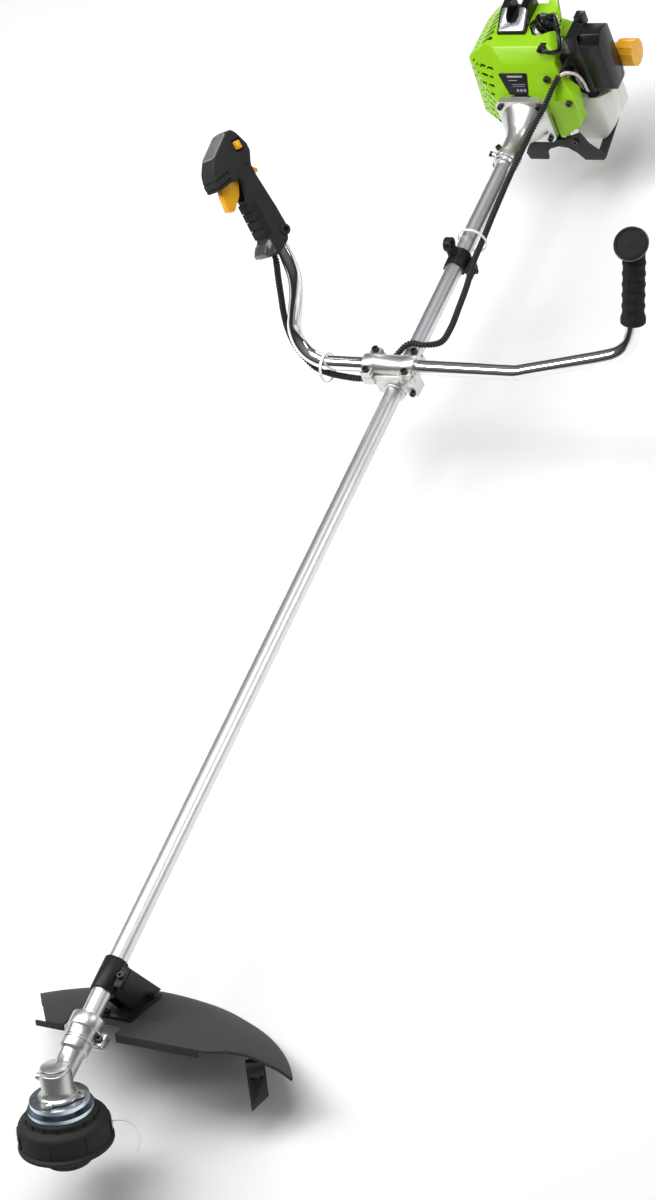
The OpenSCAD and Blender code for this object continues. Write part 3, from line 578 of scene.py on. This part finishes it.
CONDUIT_ROUTE = [
    (-163, 1257, 205), (-157, 1250, 192), (-158, 1246, 180), (-162, 1240, 157), (-167, 1234, 128),
    (-172, 1228, 99), (-174, 1222, 69), (-170, 1216, 44), (-158, 1209, 25), (-140, 1201, 13), (-113, 1193, 11),
    (-80, 1187, 12), (-52, 1186, 12), (-36, 1200, 8), (-26, 1225, 6), (0, 1248, 22), (26, 1250, 20),
    (42, 1268, 8), (44, 1300, 4), (40, 1340, 2), (34, 1390, 0), (26, 1440, 0), (24, 1480, 0), (21, 1540, 1),
    (20, 1610, 4), (24, 1648, 10), (25, 1689, 12), (34, 1721, 23), (49, 1733, 42), (58, 1750, 56), (70, 1763, 72)]
RIB_PITCH = 4.4
CONDUIT_SIDES = 14


def make_conduit():
    """Split corrugated conduit: four rings to a rib, and a slit along one side."""
    path = even_path(smooth_path(CONDUIT_ROUTE, 6), RIB_PITCH / 4)
    rib = (4.9, 4.9, 3.4, 3.4)
    slit = 0.86
    conduit = tube(path, lambda ring, side: rib[ring % 4] * (slit if side == 0 else 1), CONDUIT_SIDES)
    finish_piece(conduit, "corrugated_conduit", MACHINE, "frame", "black_rubber", ["control_conduit"], sharp=60)
    # Every fourth ring, the crest of each rib, gets a paler material: a painted highlight on the rib crests.
    conduit.data.materials.append(surface("conduit_crest_painted_highlight", (0.075, 0.075, 0.08), 0.28, tone=0.2, tone_size=6,
                                          coat=0.2))
    for face in conduit.data.polygons:
        if len(face.vertices) == 4 and (face.index // CONDUIT_SIDES) % 4 == 0:
            face.material_index = 1


def merge(*objs):
    """Several separate closed shapes as one object."""
    bm = bmesh.new()
    for obj in objs:
        bm.from_mesh(obj.data)
        bpy.data.objects.remove(obj)
    return make_object("merged", bm)


def placed(obj, matrix):
    obj.data.transform(matrix)
    return obj


def axes_at(origin, x_axis, y_axis):
    """A frame at a point, from the directions of its first two axes."""
    x_axis, y_axis = Vector(x_axis).normalized(), Vector(y_axis).normalized()
    turn = Matrix((x_axis, y_axis, x_axis.cross(y_axis))).transposed().to_4x4()
    return Matrix.Translation(origin) @ turn


def stadium(length, height, steps=5):
    """Outline of a slot with round ends, centred on the origin."""
    radius = height / 2
    reach = length / 2 - radius
    arc = [math.pi * (k / steps - 0.5) for k in range(steps + 1)]
    right = [(reach + radius * math.cos(a), radius * math.sin(a)) for a in arc]
    return right + [(-x, -y) for x, y in right]


def fillet(points, radius, steps=4):
    """The outline with its corners rounded, by one radius or one per corner."""
    out = []
    for i, point in enumerate(points):
        here = Vector(point)
        before, after = Vector(points[i - 1]) - here, Vector(points[(i + 1) % len(points)]) - here
        wanted = radius[i] if isinstance(radius, (list, tuple)) else radius
        half = before.angle(after) / 2
        reach = min(wanted / math.tan(half), before.length * 0.48, after.length * 0.48)
        a, b = here + before.normalized() * reach, here + after.normalized() * reach
        for k in range(steps + 1):
            t = k / steps
            out.append(tuple((1 - t) ** 2 * a + 2 * t * (1 - t) * here + t * t * b))
    return out


def shrink(points, distance, middle):
    return [tuple(Vector(p) + distance * (Vector(middle) - Vector(p)).normalized()) for p in points]


# ---------------------------------------------------------------- engine cover
COVER_FRONT = [(-98, -24), (-98, 78), (-50, 112), (40, 112), (62, 96), (62, 30), (58, -40), (40, -46),
               (-36, -46), (-46, -14)]
COVER_LOBE = [(30, -44), (46, -44), (84, -20), (90, 38), (74, 58), (63, 84), (60, 96), (30, 96)]
SLOPE_LOW, SLOPE_HIGH = (1750, 34), (1778, 85)
COVER_SIDE = [(1750, -60), SLOPE_LOW, SLOPE_HIGH, (1796, 104), (1900, 120), (1900, -60)]
COVER_PLAN = [(-98, 1740), (62, 1740), (62, 1835), (30, 1900), (-86, 1900), (-98, 1884)]
PANEL_CORNER = Vector((-45, 1750, 24))
PANEL_UPPER = Vector((-0.327, -0.825, 0.46)).normalized()
PANEL_LOWER = Vector((-0.629, -0.771, 0.1)).normalized()
CRANK_Y = 1826
PLUG_LEAN = shift(0, CRANK_Y, 80) @ degrees(24, "Z") @ degrees(50, "Y")


def behind(point, normal):
    return placed(block((-300, -300, -500), (300, 300, 0)),
                  Matrix.Translation(point) @ normal.to_track_quat("Z", "Y").to_matrix().to_4x4())


def cover_solid(inset):
    solid = prism(shrink(COVER_FRONT, inset, (-20, 30)), 1740 + inset, 1910, "Y")
    return overlap(solid, prism([(y + inset * 1.2, z - inset) for y, z in COVER_SIDE], -99, 70, "X"),
                   prism(shrink(COVER_PLAN, inset, (-10, 1830)), -60, 130, "Z"),
                   behind(PANEL_CORNER - PANEL_UPPER * inset, PANEL_UPPER),
                   behind(PANEL_CORNER - PANEL_LOWER * inset, PANEL_LOWER))


def lobe_solid(inset):
    lobe = prism(shrink(COVER_LOBE, inset, (58, 30)), 1750 + inset, 1779 if inset else 1778, "Y")
    side = [(1750 + inset, -60), (1750 + inset, 34 - inset), (1779 + inset, 92 - inset), (1779 + inset, -60)]
    return overlap(lobe, prism(side, 62 if inset else 20, 100, "X"))


def lower_vents():
    """Slots and small three-sided holes through the two slanted panels at the front left."""
    along = Vector((0.771, -0.637, 0))
    cutters = []
    for row in range(8):
        height = -12 + 12 * row
        ridge = Vector((-46, 1750 + max(height - 24, 0) * 0.525, height))
        for place, width in ((10, 13), (26, 13)) if row % 2 else ((9, 9), (23, 15)):
            cutters.append(placed(prism(stadium(width, 5.4), -16, 16, "Z"),
                                  axes_at(ridge - along * place, along, (0, 0, 1))))
        for column in range(3):
            centre = ridge - along * (37 + 8.5 * column) + Vector((0, 0, 4 * (column % 2)))
            corners = fillet([(-3.3, -2.8), (3.3, -2.8), (0, 3.4)], 0.9, 2)
            cutters.append(placed(prism(corners, -16, 16, "Z"), axes_at(centre, along, (0, 0, 1))))
    return merge(*cutters)


def upper_vents():
    """Slots across the slanted shoulder, with rows of small round holes at its outer edge."""
    across = Vector((0.816, 0, 0.578))
    cutters = [placed(prism(stadium(25, 7.6), -9, 9, "Z"), axes_at((-63, y, 102.8), across, (0, 1, 0)))
               for y in range(1812, 1884, 12)]
    for column in range(2):
        for y in range(1812, 1890, 9):
            cutters.append(placed(prism(stadium(4.4, 4.3, 4), -9, 9, "Z"),
                                  axes_at(Vector((-83, y + 4 * column, 88.6)) - across * 8 * column,
                                          across, (0, 1, 0))))
    return merge(*cutters)


COVER_SKIN = 1.6      # anything deeper than this below the outer skin is painted near black, as painted shade inside the shell


def deep_inside(point):
    """Whether a point of the cover's mesh is on its inner side, rather than on its outer skin."""
    def within(outline, a, b, depth):
        area = sum(p[0] * q[1] - q[0] * p[1] for p, q in zip(outline, outline[1:] + outline[:1]))
        turn = 1 if area > 0 else -1
        for p, q in zip(outline, outline[1:] + outline[:1]):
            edge = (Vector(q) - Vector(p)).normalized()
            if turn * (edge.x * (b - p[1]) - edge.y * (a - p[0])) < depth:
                return False
        return True
    body = [corner for corner in COVER_FRONT if corner not in ((40, -46), (-36, -46), (-46, -14))]
    return (within(body, point.x, point.z, COVER_SKIN) and within(COVER_SIDE, point.y, point.z, COVER_SKIN)
            and (point - PANEL_CORNER).dot(PANEL_UPPER) < -COVER_SKIN
            and (point - PANEL_CORNER).dot(PANEL_LOWER) < -COVER_SKIN)


def make_cover():
    cover = round_edges(cover_solid(0), 3.6, 4, 12)
    join(cover, round_edges(lobe_solid(0), 2.4, 3, 25))
    inner = cover_solid(3)
    rear = placed(cover_solid(3), shift(0, 60, 0))
    cut(cover, inner, rear, lobe_solid(4))
    cut(cover, rod(43, (0, 1730, 0), (0, 1762, 0), 64), block((-43, 1730, -60), (43, 1762, 0)),
        block((40, 1795, -50), (72, 1911, 81)), block((10, 1866, -50), (72, 1911, 79)),
        placed(rod(20.3, (0, 0, 26), (0, 0, 90), 64), PLUG_LEAN),
        block((52, 1812, 60), (72, 1868, 100)), block((36, 1788, 84), (46, 1802, 116)),
        block((-44, 1818, 90), (4, 1911, 132)), block((-30, 1884, 79), (20, 1911, 132)),
        block((-60, 1786, -71), (60, 1911, -39)))
    for x, y, z in ((48, 1765, 66), (80, 1750, 30)):
        cut(cover, rod(6.5, (x, y - 20, z), (x, y, z), 32), rod(2.6, (x, y - 1, z), (x, y + 12, z)))
    cut(cover, lower_vents(), upper_vents())
    # The cover's inner faces get a near-black material, a painted shade seen through the vents, in place of the green
    # the shell has inside.
    dark = [face.index for face in cover.data.polygons if deep_inside(face.center)]
    finish_piece(cover, "cover_moulding", MACHINE, "frame", "green_plastic", ["engine_shroud"], sharp=32)
    cover.data.materials.append(surface("cover_inside_painted_shade", (0.012, 0.014, 0.012), 0.7, tone=0.2, grain=0.02))
    for index in dark:
        cover.data.polygons[index].material_index = 1


def slope_frame():
    """On the cover's sloping front: x across, y up the slope, z outward."""
    low, high = Vector((0, *SLOPE_LOW)), Vector((0, *SLOPE_HIGH))
    return MACHINE @ axes_at(low, (1, 0, 0), high - low)


def make_label():
    outline = fillet([(-20, 9), (12.5, 9), (13, 43), (-38, 43)], [3, 4, 4, 3])
    plate = round_edges(prism(outline, -0.4, 0.5, "Z"), 0.2, 2)
    finish_piece(plate, "rating_label", slope_frame(), "frame", "black_gloss",
                 material=surface("label_film", (0.028, 0.027, 0.033), 0.3, tone=0.2, tone_size=12, coat=0.2))
    bars = [prism(fillet([(x, y), (x + w, y), (x + w, y + h), (x, y + h)], 0.4, 2), 0.3, 0.62, "Z")
            for x, y, w, h in ((-22, 36, 26, 3.2), (-20, 31, 15, 1.2), (-15, 25, 24, 0.8), (-13, 22, 21, 0.8),
                               (-7, 14, 4, 4), (-1, 14, 4, 4), (5, 14, 4, 4))]
    finish_piece(merge(*bars), "label_bars", slope_frame(), "frame", "black_gloss",
                 material=surface("label_ink", (0.42, 0.42, 0.44), 0.4, tone=0.05))


def make_top_cover():
    side = fillet([(1818, 100), (1818, 112), (1850, 130), (1884, 134), (1884, 104), (1850, 104)],
                  [2, 5, 8, 4, 1, 1])
    body = round_edges(prism(side, -44, 4, "X"), 2.2, 3, 40)
    channel = [(x - 21, y) for x, y in ((-10, 1925), (-10, 1842), (-7, 1834), (0, 1831), (7, 1834), (10, 1842),
                                        (10, 1925))]
    cut(body, round_edges(prism(channel, 111, 150, "Z"), 1.5, 2))
    cut(body, *[block((x, 1846, 118), (x + 2, 1925, 150)) for x in (-6, -2)])
    finish_piece(body, "top_cover_moulding", MACHINE, "frame", "black_gloss", ["top_cover"])
    low, high = Vector((0, 1818, 112)), Vector((0, 1850, 130))
    trim = axes_at(low, (1, 0, 0), high - low)
    plate = prism(fillet([(-41, 3), (1, 3), (1, 40), (-41, 40)], [2, 2, 5, 5]), -0.4, 0.7, "Z")
    cut(plate, prism([(x - 21, y) for x, y in ((-11, 60), (-11, 25), (-8, 17), (0, 14), (8, 17), (11, 25),
                                               (11, 60))], -2, 2, "Z"))
    finish_piece(round_edges(plate, 0.25, 2), "top_cover_trim", MACHINE @ trim, "frame", "engine_aluminium",
                 material=surface("brushed_trim", (0.5, 0.5, 0.52), 0.32, 1.0, tone=0.2, tone_size=3,
                                  along=(1, 1, 0.08), grain=0.02, grain_size=0.4))


TANK_FRONT = [(44, -90), (88, -90), (112, -64), (118, -30), (118, -4), (44, -4)]
TANK_PLAN = [(44, 1796), (100, 1796), (118, 1812), (118, 1852), (106, 1872), (44, 1872)]
TANK_NECK = [(86, -22), (117, -22), (118, 40), (112, 56), (94, 56), (86, 44)]


def make_tank():
    tank = overlap(prism(fillet(TANK_FRONT, [4, 16, 20, 20, 6, 4], 6), 1790, 1880, "Y"),
                   prism(fillet(TANK_PLAN, [4, 14, 16, 14, 12, 4], 6), -95, -3, "Z"))
    round_edges(tank, 10, 6, 35)
    neck = round_edges(prism(fillet(TANK_NECK, [3, 3, 10, 12, 10, 10], 5), 1846, 1872, "Y"), 3.5, 4, 40)
    join(tank, neck, rod(13, (112, 1862, 31), (133, 1862, 31), 48), rod(15.5, (114, 1862, 31), (120, 1862, 31), 48))
    seam = overlap(prism(fillet([(43.9, -90.6), (88, -90.6), (113, -64), (118.8, -30), (118.8, -3), (43.9, -3)],
                                [4, 16, 20, 20, 6, 4], 6), 1832, 1834, "Y"),
                   block((40, 1790, -91), (119, 1880, -8)))
    join(tank, seam)
    finish_piece(tank, "tank_moulding", MACHINE, "frame", "tank_plastic", ["fuel_tank"], sharp=40)


LEAD_ROUTE = [(40, 1844, 116), (52, 1838, 126), (58, 1827, 117), (63, 1812, 103), (66.5, 1795, 97),
              (59, 1782, 103), (50, 1781, 107), (44, 1787, 105), (40, 1793, 99), (38, 1795, 92)]


def make_boot():
    boot = lathe([(5.1, 33), (10.6, 33), (11.6, 36), (12, 43.5), (18.4, 44.4), (19.3, 45.6), (19.3, 47.4),
                  (18.4, 48.4), (13.4, 49), (12.6, 50.2), (15.6, 50.8), (16.4, 52), (16, 53.6), (13.4, 54.8),
                  (10.5, 57.5), (7, 59.4), (0, 60), (0, 47.4), (5.1, 47.4)], 64)
    finish_piece(boot, "plug_boot", MACHINE @ PLUG_LEAN, "frame", "black_rubber", ["plug_lead"],
                 material=black_gloss())
    path = even_path(smooth_path(LEAD_ROUTE, 8), 1.2)
    collars = {k for start in (4, 10, 26, 32) for k in (start, start + 1, start + 2)}
    lead = tube(path, lambda ring, side: 4.8 if ring in collars else 3.3, 20)
    finish_piece(lead, "plug_lead_sleeve", MACHINE, "frame", "black_rubber", sharp=50, material=black_gloss())
    clip = round_edges(block((35, 1783, 101), (47, 1796, 106.5)), 1.6, 3)
    cut(clip, rod(3.4, (44, 1778, 105), (39, 1800, 102)))
    finish_piece(clip, "lead_clip", MACHINE, "frame", "black_rubber")


def make_wires():
    """The stop switch's wire and the clear breather tube between the conduit and the carburettor."""
    wire = tube(even_path(smooth_path([(70, 1763, 72), (74, 1770, 68), (82, 1782, 62), (86, 1790, 54),
                                       (82, 1798, 47), (72, 1808, 42)], 6), 1.5), 1.5, 12)
    finish_piece(wire, "stop_wire", MACHINE, "frame", "amber_plastic",
                 material=surface("red_wire", (0.75, 0.07, 0.02), 0.3, tone=0.05, coat=0.3))
    hose = tube(even_path(smooth_path([(72, 1764, 73), (80, 1772, 71), (89, 1782, 58), (92, 1788, 38),
                                       (91, 1792, 18), (90, 1802, 6)], 6), 1.5), 2.6, 16)
    finish_piece(hose, "breather_tube", MACHINE, "frame", "white_nylon",
                 material=surface("clear_tube", (0.72, 0.72, 0.70), 0.12, tone=0.15, tone_size=3, coat=0.8,
                                  through=0.4))


# ---------------------------------------------------------------- throttle handle
HANDLE_OUTLINE = [
    (8, 8), (18, 27), (16, 60), (10, 112), (8, 130), (18, 148), (18, 160), (10, 180), (4, 188),
    (-6, 188), (-46, 163), (-57, 148), (-62, 132), (-62, 118), (-38, 121), (-20, 121), (-18, 112),
    (-24, 90), (-23, 60), (-25, 26), (-31, 18), (-39, 9), (-38, 2), (-17, -3)]
CORNER_RADII = [7, 7, 30, 20, 9, 14, 14, 12, 7, 7, 12, 18, 14, 4, 4, 4, 12, 14, 20, 8, 7, 4, 5, 8]
GRIP_HALF, NOSE_HALF = 15, 18
CROWN, CROWN_STEPS = 5.0, 5     # rounding of the shell's outer edge
JOINT_BEVEL = 0.35              # small bevel where the two shells meet


def inset_outline(points, distance):
    """Each corner moved inward along the mean of its two edges' normals."""
    area = sum(a[0] * b[1] - b[0] * a[1] for a, b in zip(points, points[1:] + points[:1]))
    turn = 1 if area > 0 else -1
    out = []
    for i, point in enumerate(points):
        here = Vector(point)
        ahead = (Vector(points[(i + 1) % len(points)]) - here).normalized()
        back = (here - Vector(points[i - 1])).normalized()
        one, two = Vector((-back.y, back.x)) * turn, Vector((-ahead.y, ahead.x)) * turn
        middle = (one + two).normalized()
        out.append(tuple(here + middle * distance / max(middle.dot(one), 0.6)))
    return out


def shell_half_width(z):
    """The handle's half width, wider at the nose."""
    blend = min(max((z - 108) / 14, 0), 1)
    return GRIP_HALF + (NOSE_HALF - GRIP_HALF) * blend * blend * (3 - 2 * blend)


def handle_half(side):
    """One half of the handle's shell: rounded outer edge, flat at the joint."""
    outline = fillet(HANDLE_OUTLINE, CORNER_RADII, 4)
    rings = [[(0, y, z) for y, z in inset_outline(outline, JOINT_BEVEL)],
             [(side * JOINT_BEVEL, y, z) for y, z in inset_outline(outline, 0)]]
    for k in range(CROWN_STEPS + 1):
        angle = math.pi / 2 * k / CROWN_STEPS
        drop = CROWN * (1 - math.sin(angle))
        drawn_in = inset_outline(outline, CROWN * 0.5 * (1 - math.cos(angle)))
        rings.append([(side * (shell_half_width(z) - drop), y, z) for y, z in drawn_in])
    bm = bmesh.new()
    rings = [[bm.verts.new(point) for point in ring] for ring in rings]
    for a, b in zip(rings, rings[1:]):
        for k in range(len(a)):
            bm.faces.new((a[k], a[(k + 1) % len(a)], b[(k + 1) % len(b)], b[k]))
    bm.faces.new(rings[0])
    bm.faces.new(rings[-1])
    return make_object("handle_half", bm)


def make_handle():
    for side, node in ((1, "throttle_shell_left"), (-1, "throttle_shell_right")):
        half = handle_half(side)
        cut(half, rod(BAR_RADIUS, (0, 0, -12), (0, 0, 62), 48), block((-7.5, -56, 88), (7.5, -8, 148)),
            rod(5.2, (0, -17.5, -12), (0, -17.5, 60)), block((-6.5, -5, 112), (6.5, 22, 136)))
        if side == 1:
            cut(half, round_edges(block((14.5, -7, 154.5), (25, 9, 173.5)), 1.6, 3),
                rod(4.6, (12, 9, 24), (25, 9, 24), 6))
        # Two steps round the nose, and a curved line over the side
        core = inset_outline(fillet(HANDLE_OUTLINE, CORNER_RADII, 4), 1.5)
        for z in (121.5, 131.5):
            groove = prism([(-75, z - 1), (-34, z + 4), (-34, z + 7), (-75, z + 2)], -30, 30, "X")
            cut(half, cut(groove, prism(core, -16.4, 16.4, "X")))
        bead = [Vector((17.7 * side, y, 112 + 24 * math.sin(math.pi * (y + 52) / 84))) for y in range(-35, 10, 3)]
        finish_piece(tube(bead, 1.1, 10), "side_bead_" + ("camera_side" if side == 1 else "far_side"), HANDLE,
                     "frame", "handle_plastic", sharp=60)
        finish_piece(half, "handle_half_" + ("camera_side" if side == 1 else "far_side"), HANDLE, "frame",
                     "handle_plastic", [node], sharp=38)
    low, high = Vector((0, -46, 163)), Vector((0, -6, 188))
    panel_frame = axes_at(low, (1, 0, 0), high - low)
    panel = round_edges(prism(fillet([(-16.4, 0), (16.4, 0), (16.4, 46), (-16.4, 46)], 5), -1.6, 1.1, "Z"), 0.7, 3)
    cut(panel, prism(fillet([(-14.6, 2), (14.6, 2), (14.6, 44), (-14.6, 44)], 4), 0.5, 2, "Z"))
    finish_piece(panel, "switch_panel", HANDLE @ panel_frame, "frame", "handle_plastic",
                 material=surface("panel_grey", (0.30, 0.30, 0.31), 0.4, tone=0.1, grain=0.02, grain_size=0.4))
    ribs = [round_edges(block((x, 3, 0.2), (x + 1.4, 43, 0.95)), 0.25, 2) for x in range(-13, 13, 3)]
    finish_piece(merge(*ribs), "panel_ribs", HANDLE @ panel_frame, "frame", "handle_plastic",
                 material=surface("panel_ribbing", (0.20, 0.20, 0.205), 0.35, tone=0.1, grain=0.02, grain_size=0.4))
    pads = []
    for z in (28, 42, 56, 70):
        pad = round_edges(block((-15.6, -25.7, z), (15.6, -12, z + 13.2)), 1, 3)
        pads.append(cut(pad, block((-14.4, -25, z - 1), (14.4, -11, z + 13))))
    finish_piece(merge(*pads), "finger_pads", HANDLE, "frame", "grip_rubber")
    band = round_edges(prism(fillet([(-39.6, 2.6), (-40, 9.2), (-32, 19), (-24, 24), (-20, 24), (-20, 2.6)], 3, 4),
                             -15.5, 15.5, "X"), 2.2, 3)
    # The foot band's base colour is lighter than the handle's as a painted sheen, on top of its real glossy coat.
    finish_piece(band, "foot_band", HANDLE, "frame", "handle_plastic",
                 material=surface("polished_band_painted_sheen", (0.10, 0.10, 0.105), 0.16, tone=0.1, coat=0.8))
    lug = round_edges(rod(8.2, (12, 9.5, 24), (18, 9.5, 24), 40), 0.8, 3)
    cut(lug, rod(4.8, (14, 9.5, 24), (25, 9.5, 24), 6))
    finish_piece(lug, "screw_lug", HANDLE, "frame", "handle_plastic")


# ---------------------------------------------------------------- right-hand grip
def make_grip():
    profile = [(11.05, -8), (16.2, -8), (17.6, -6.5), (17.8, 0), (16.8, 4), (15.4, 8)]
    for z in range(18, 98, 16):
        profile += [(15.4, z - 3.2), (16.3, z - 2), (16.5, z), (16.3, z + 2), (15.4, z + 3.2),
                    (15.4, z + 6.8), (14.7, z + 7.4), (14.7, z + 8.6), (15.4, z + 9.2)]
    profile += [(15.6, 99), (17.2, 104), (18.4, 108), (18.4, 111), (17, 112), (11.05, 112)]
    grip = lathe(profile, 72)
    for side in (-1, 1):
        cut(grip, block((-0.35, 15.2 * side - 1.2, -4), (0.35, 15.2 * side + 1.2, 98)))
    tilt = shift(0, -13, 115) @ degrees(47, "X")
    neck = tube([Vector((0, 0, 106)), Vector((0, -1, 115)), Vector((0, -8, 128))],
                lambda ring, side: (15.2, 14.4, 8)[ring], 40)
    join(grip, cut(neck, rod(11.05, (0, 0, 100), (0, 0, 114.5), 48)))
    cut(grip, placed(block((-40, -40, -0.5), (40, 40, 40)), tilt))
    finish_piece(grip, "grip_sleeve", GRIP, "frame", "grip_rubber", ["left_grip"], sharp=45)
    disc = lathe([(0, 0.2), (9, -2), (15, -7), (17.5, -6), (21, -4), (23.6, -2.6), (24.2, 0),
                  (23.4, 2.8), (21.4, 4), (19.6, 4), (18.6, 2.6), (6, 2.2), (4, 3.2), (0, 3.4)], 72)
    finish_piece(disc, "grip_end", GRIP @ tilt, "frame", "grip_rubber")
    trim = lathe([(22.6, -4.6), (24.9, -4.2), (25.2, -3), (24.6, -2.2), (22.6, -2.2)], 72)
    finish_piece(trim, "grip_end_trim", GRIP @ tilt, "frame", "grip_rubber",
                 material=surface("trim_grey", (0.32, 0.32, 0.33), 0.3, 0.6, tone=0.1))


# ---------------------------------------------------------------- gearbox
FLANGE_SCREWS = (20, 160, 270)      # degrees around the output shaft


def make_gearbox():
    """The casting: an upright body with a cap and a footed flange, a narrower neck and a split sleeve."""
    lean = degrees(-HEAD_LEAN, "X")
    along_shaft = degrees(-90, "X")
    shell = lathe([(0, -17), (25, -17), (26.5, -16.2), (26.5, -13), (25, -12), (23, -11), (21.4, -8), (20.8, -4),
                   (20.5, 18), (20, 19.6), (19.4, 20), (19.4, 22.8), (18.6, 23.8), (18, 26), (17, 26.6), (0, 26.6)],
                  96, lean)
    screw_turns = [lean @ degrees(angle, "Z") for angle in FLANGE_SCREWS]
    for turn in screw_turns:
        join(shell, rod(8, turn @ Vector((26, 0, -16.5)), turn @ Vector((26, 0, -12.5)), 40))
    neck = lathe([(0, 4), (16.4, 4), (15.8, 20), (15.8, 43), (16.6, 46), (19.2, 48.4), (19.8, 50), (19.8, 63.4),
                  (19.2, 64), (19.2, 65), (19.8, 65.6), (19.8, 77.6), (20.6, 79), (22, 79.6), (22.4, 80.6),
                  (22.4, 96.6), (21.6, 98), (0, 98)], 96, along_shaft)
    join(shell, neck, round_edges(block((8, 66, -23), (29, 86, -9)), 2, 3),
         rod(5, lean @ Vector((-29, 0, 6)), lean @ Vector((-14, 0, 6)), 32),
         placed(round_edges(block((-22, -1.2, -12), (-18, 1.2, 19)), 0.4, 2), lean))
    cavities = [placed(rod(radius, (0, 0, low), (0, 0, high), 64), lean)
                for radius, low, high in ((16, -8, 19), (9.5, 18, 24), (13, -13, -7.9), (8.6, -18, -12.9))]
    cut(shell, *cavities, rod(13, (0, 8, 0), (0, 99, 0), 64), block((13, 60, -16.6), (31, 90, -15)),
        rod(2.6, (24, 75, -25), (24, 75, -7)), block((-24, 61, -1), (24, 61.8, 24)),
        *[rod(2.1, turn @ Vector((27, 0, -18)), turn @ Vector((27, 0, -11))) for turn in screw_turns])
    finish_piece(shell, "gearbox_casting", MACHINE, "frame", "cast_aluminium", ["gearbox_housing"], sharp=32)


# ---------------------------------------------------------------- cutting head
def make_head():
    wall = lathe([(5, -36), (44, -36), (46.4, -36.8), (47, -38.5), (47, -43), (48, -44.6), (53, -46), (56.6, -49.2),
                  (58, -51.6), (58.5, -54), (58.5, -77), (55.5, -77), (55.5, -54), (50, -49), (44, -47),
                  (44, -39), (14, -39), (14, -62), (5, -62)], 96)
    turn = degrees(EXIT_TURN, "Z")      # everything that sits at the two line exits
    grooves = []
    for k in range(8):
        grooves.append(placed(block((57.7, -0.5, -76), (60, 0.5, -53.5)), degrees(k * 45 + EXIT_TURN + 22.5, "Z")))
    cut(wall, merge(*grooves))
    join(wall, placed(round_edges(block((57, -13, -76), (59.6, 13, -56)), 0.8, 2), turn),
         placed(round_edges(block((-59.6, -13, -76), (-57, 13, -56)), 0.8, 2), turn))
    ribs = []
    for k in range(16):
        ribs.append(placed(block((46.4, -0.8, -44), (48.2, 0.8, -37.5)), degrees(k * 22.5 + 5, "Z")))
    join(wall, merge(*ribs))
    cut(wall, placed(rod(5, (-70, 0, -66), (70, 0, -66)), turn),
        *[placed(block((58.7 * side - 3, -6.2, -75.2), (58.7 * side + 3, 6.2, -56.8)), turn) for side in (-1, 1)])
    finish_piece(wall, "head_wall", SPIN, "head", "black_nylon", ["head_housing"], sharp=30)
    skirt = lathe([(35, -88), (35, -90.4), (35.8, -91), (49.6, -91), (52, -90.2), (57, -87), (61.4, -84.2),
                   (62, -83), (62, -80.2), (61.2, -79.4), (58, -77), (55.5, -77), (55.5, -85), (48, -88)], 96)
    finish_piece(skirt, "head_skirt", SPIN, "head", "black_nylon", ["head_cover"], sharp=30)
    knob = lathe([(0, -88.5), (32, -88.5), (33, -89), (33.5, -91), (33.5, -103.5), (32.6, -106), (30, -109),
                  (27, -110.8), (22, -112), (0, -112)], 72)
    cut(knob, *[rod(3, (35 * math.cos(a), 35 * math.sin(a), -107), (35 * math.cos(a), 35 * math.sin(a), -94))
                for a in (k * math.pi / 4 for k in range(8))])
    finish_piece(knob, "bump_knob_moulding", SPIN, "bump_knob", "black_nylon", ["bump_knob"], sharp=30)


# ---------------------------------------------------------------- everything
# Nodes that only get rounded edges, with the width of the rounding in millimetres
SOFTENED = {
    "bar_clamp_base": 1.2, "bar_clamp_cap": 1.2, "clutch_housing": 1.0,
    "engine_stand": 0.8, "guard_bracket": 0.5, "harness_clamp": 1.0, "fuel_cap": 1.0,
    "starter_handle": 0.8, "throttle_trigger": 1.4, "lockout_lever": 0.8, "stop_switch": 0.6,
    "line_cutter": 0.3, "starter_housing": 1.5, "filter_base": 1.5, "filter_cover": 1.8,
    "guard": 1.0,
}


def main():
    make_camera()
    make_line()
    make_light()
    make_floor()
    paint_cad_nodes()
    make_handlebar()
    make_conduit()
    make_cover()
    make_label()
    make_top_cover()
    make_boot()
    make_wires()
    make_tank()
    make_handle()
    make_grip()
    make_gearbox()
    make_head()
    for node, width in SOFTENED.items():
        softened(node, width)


main()
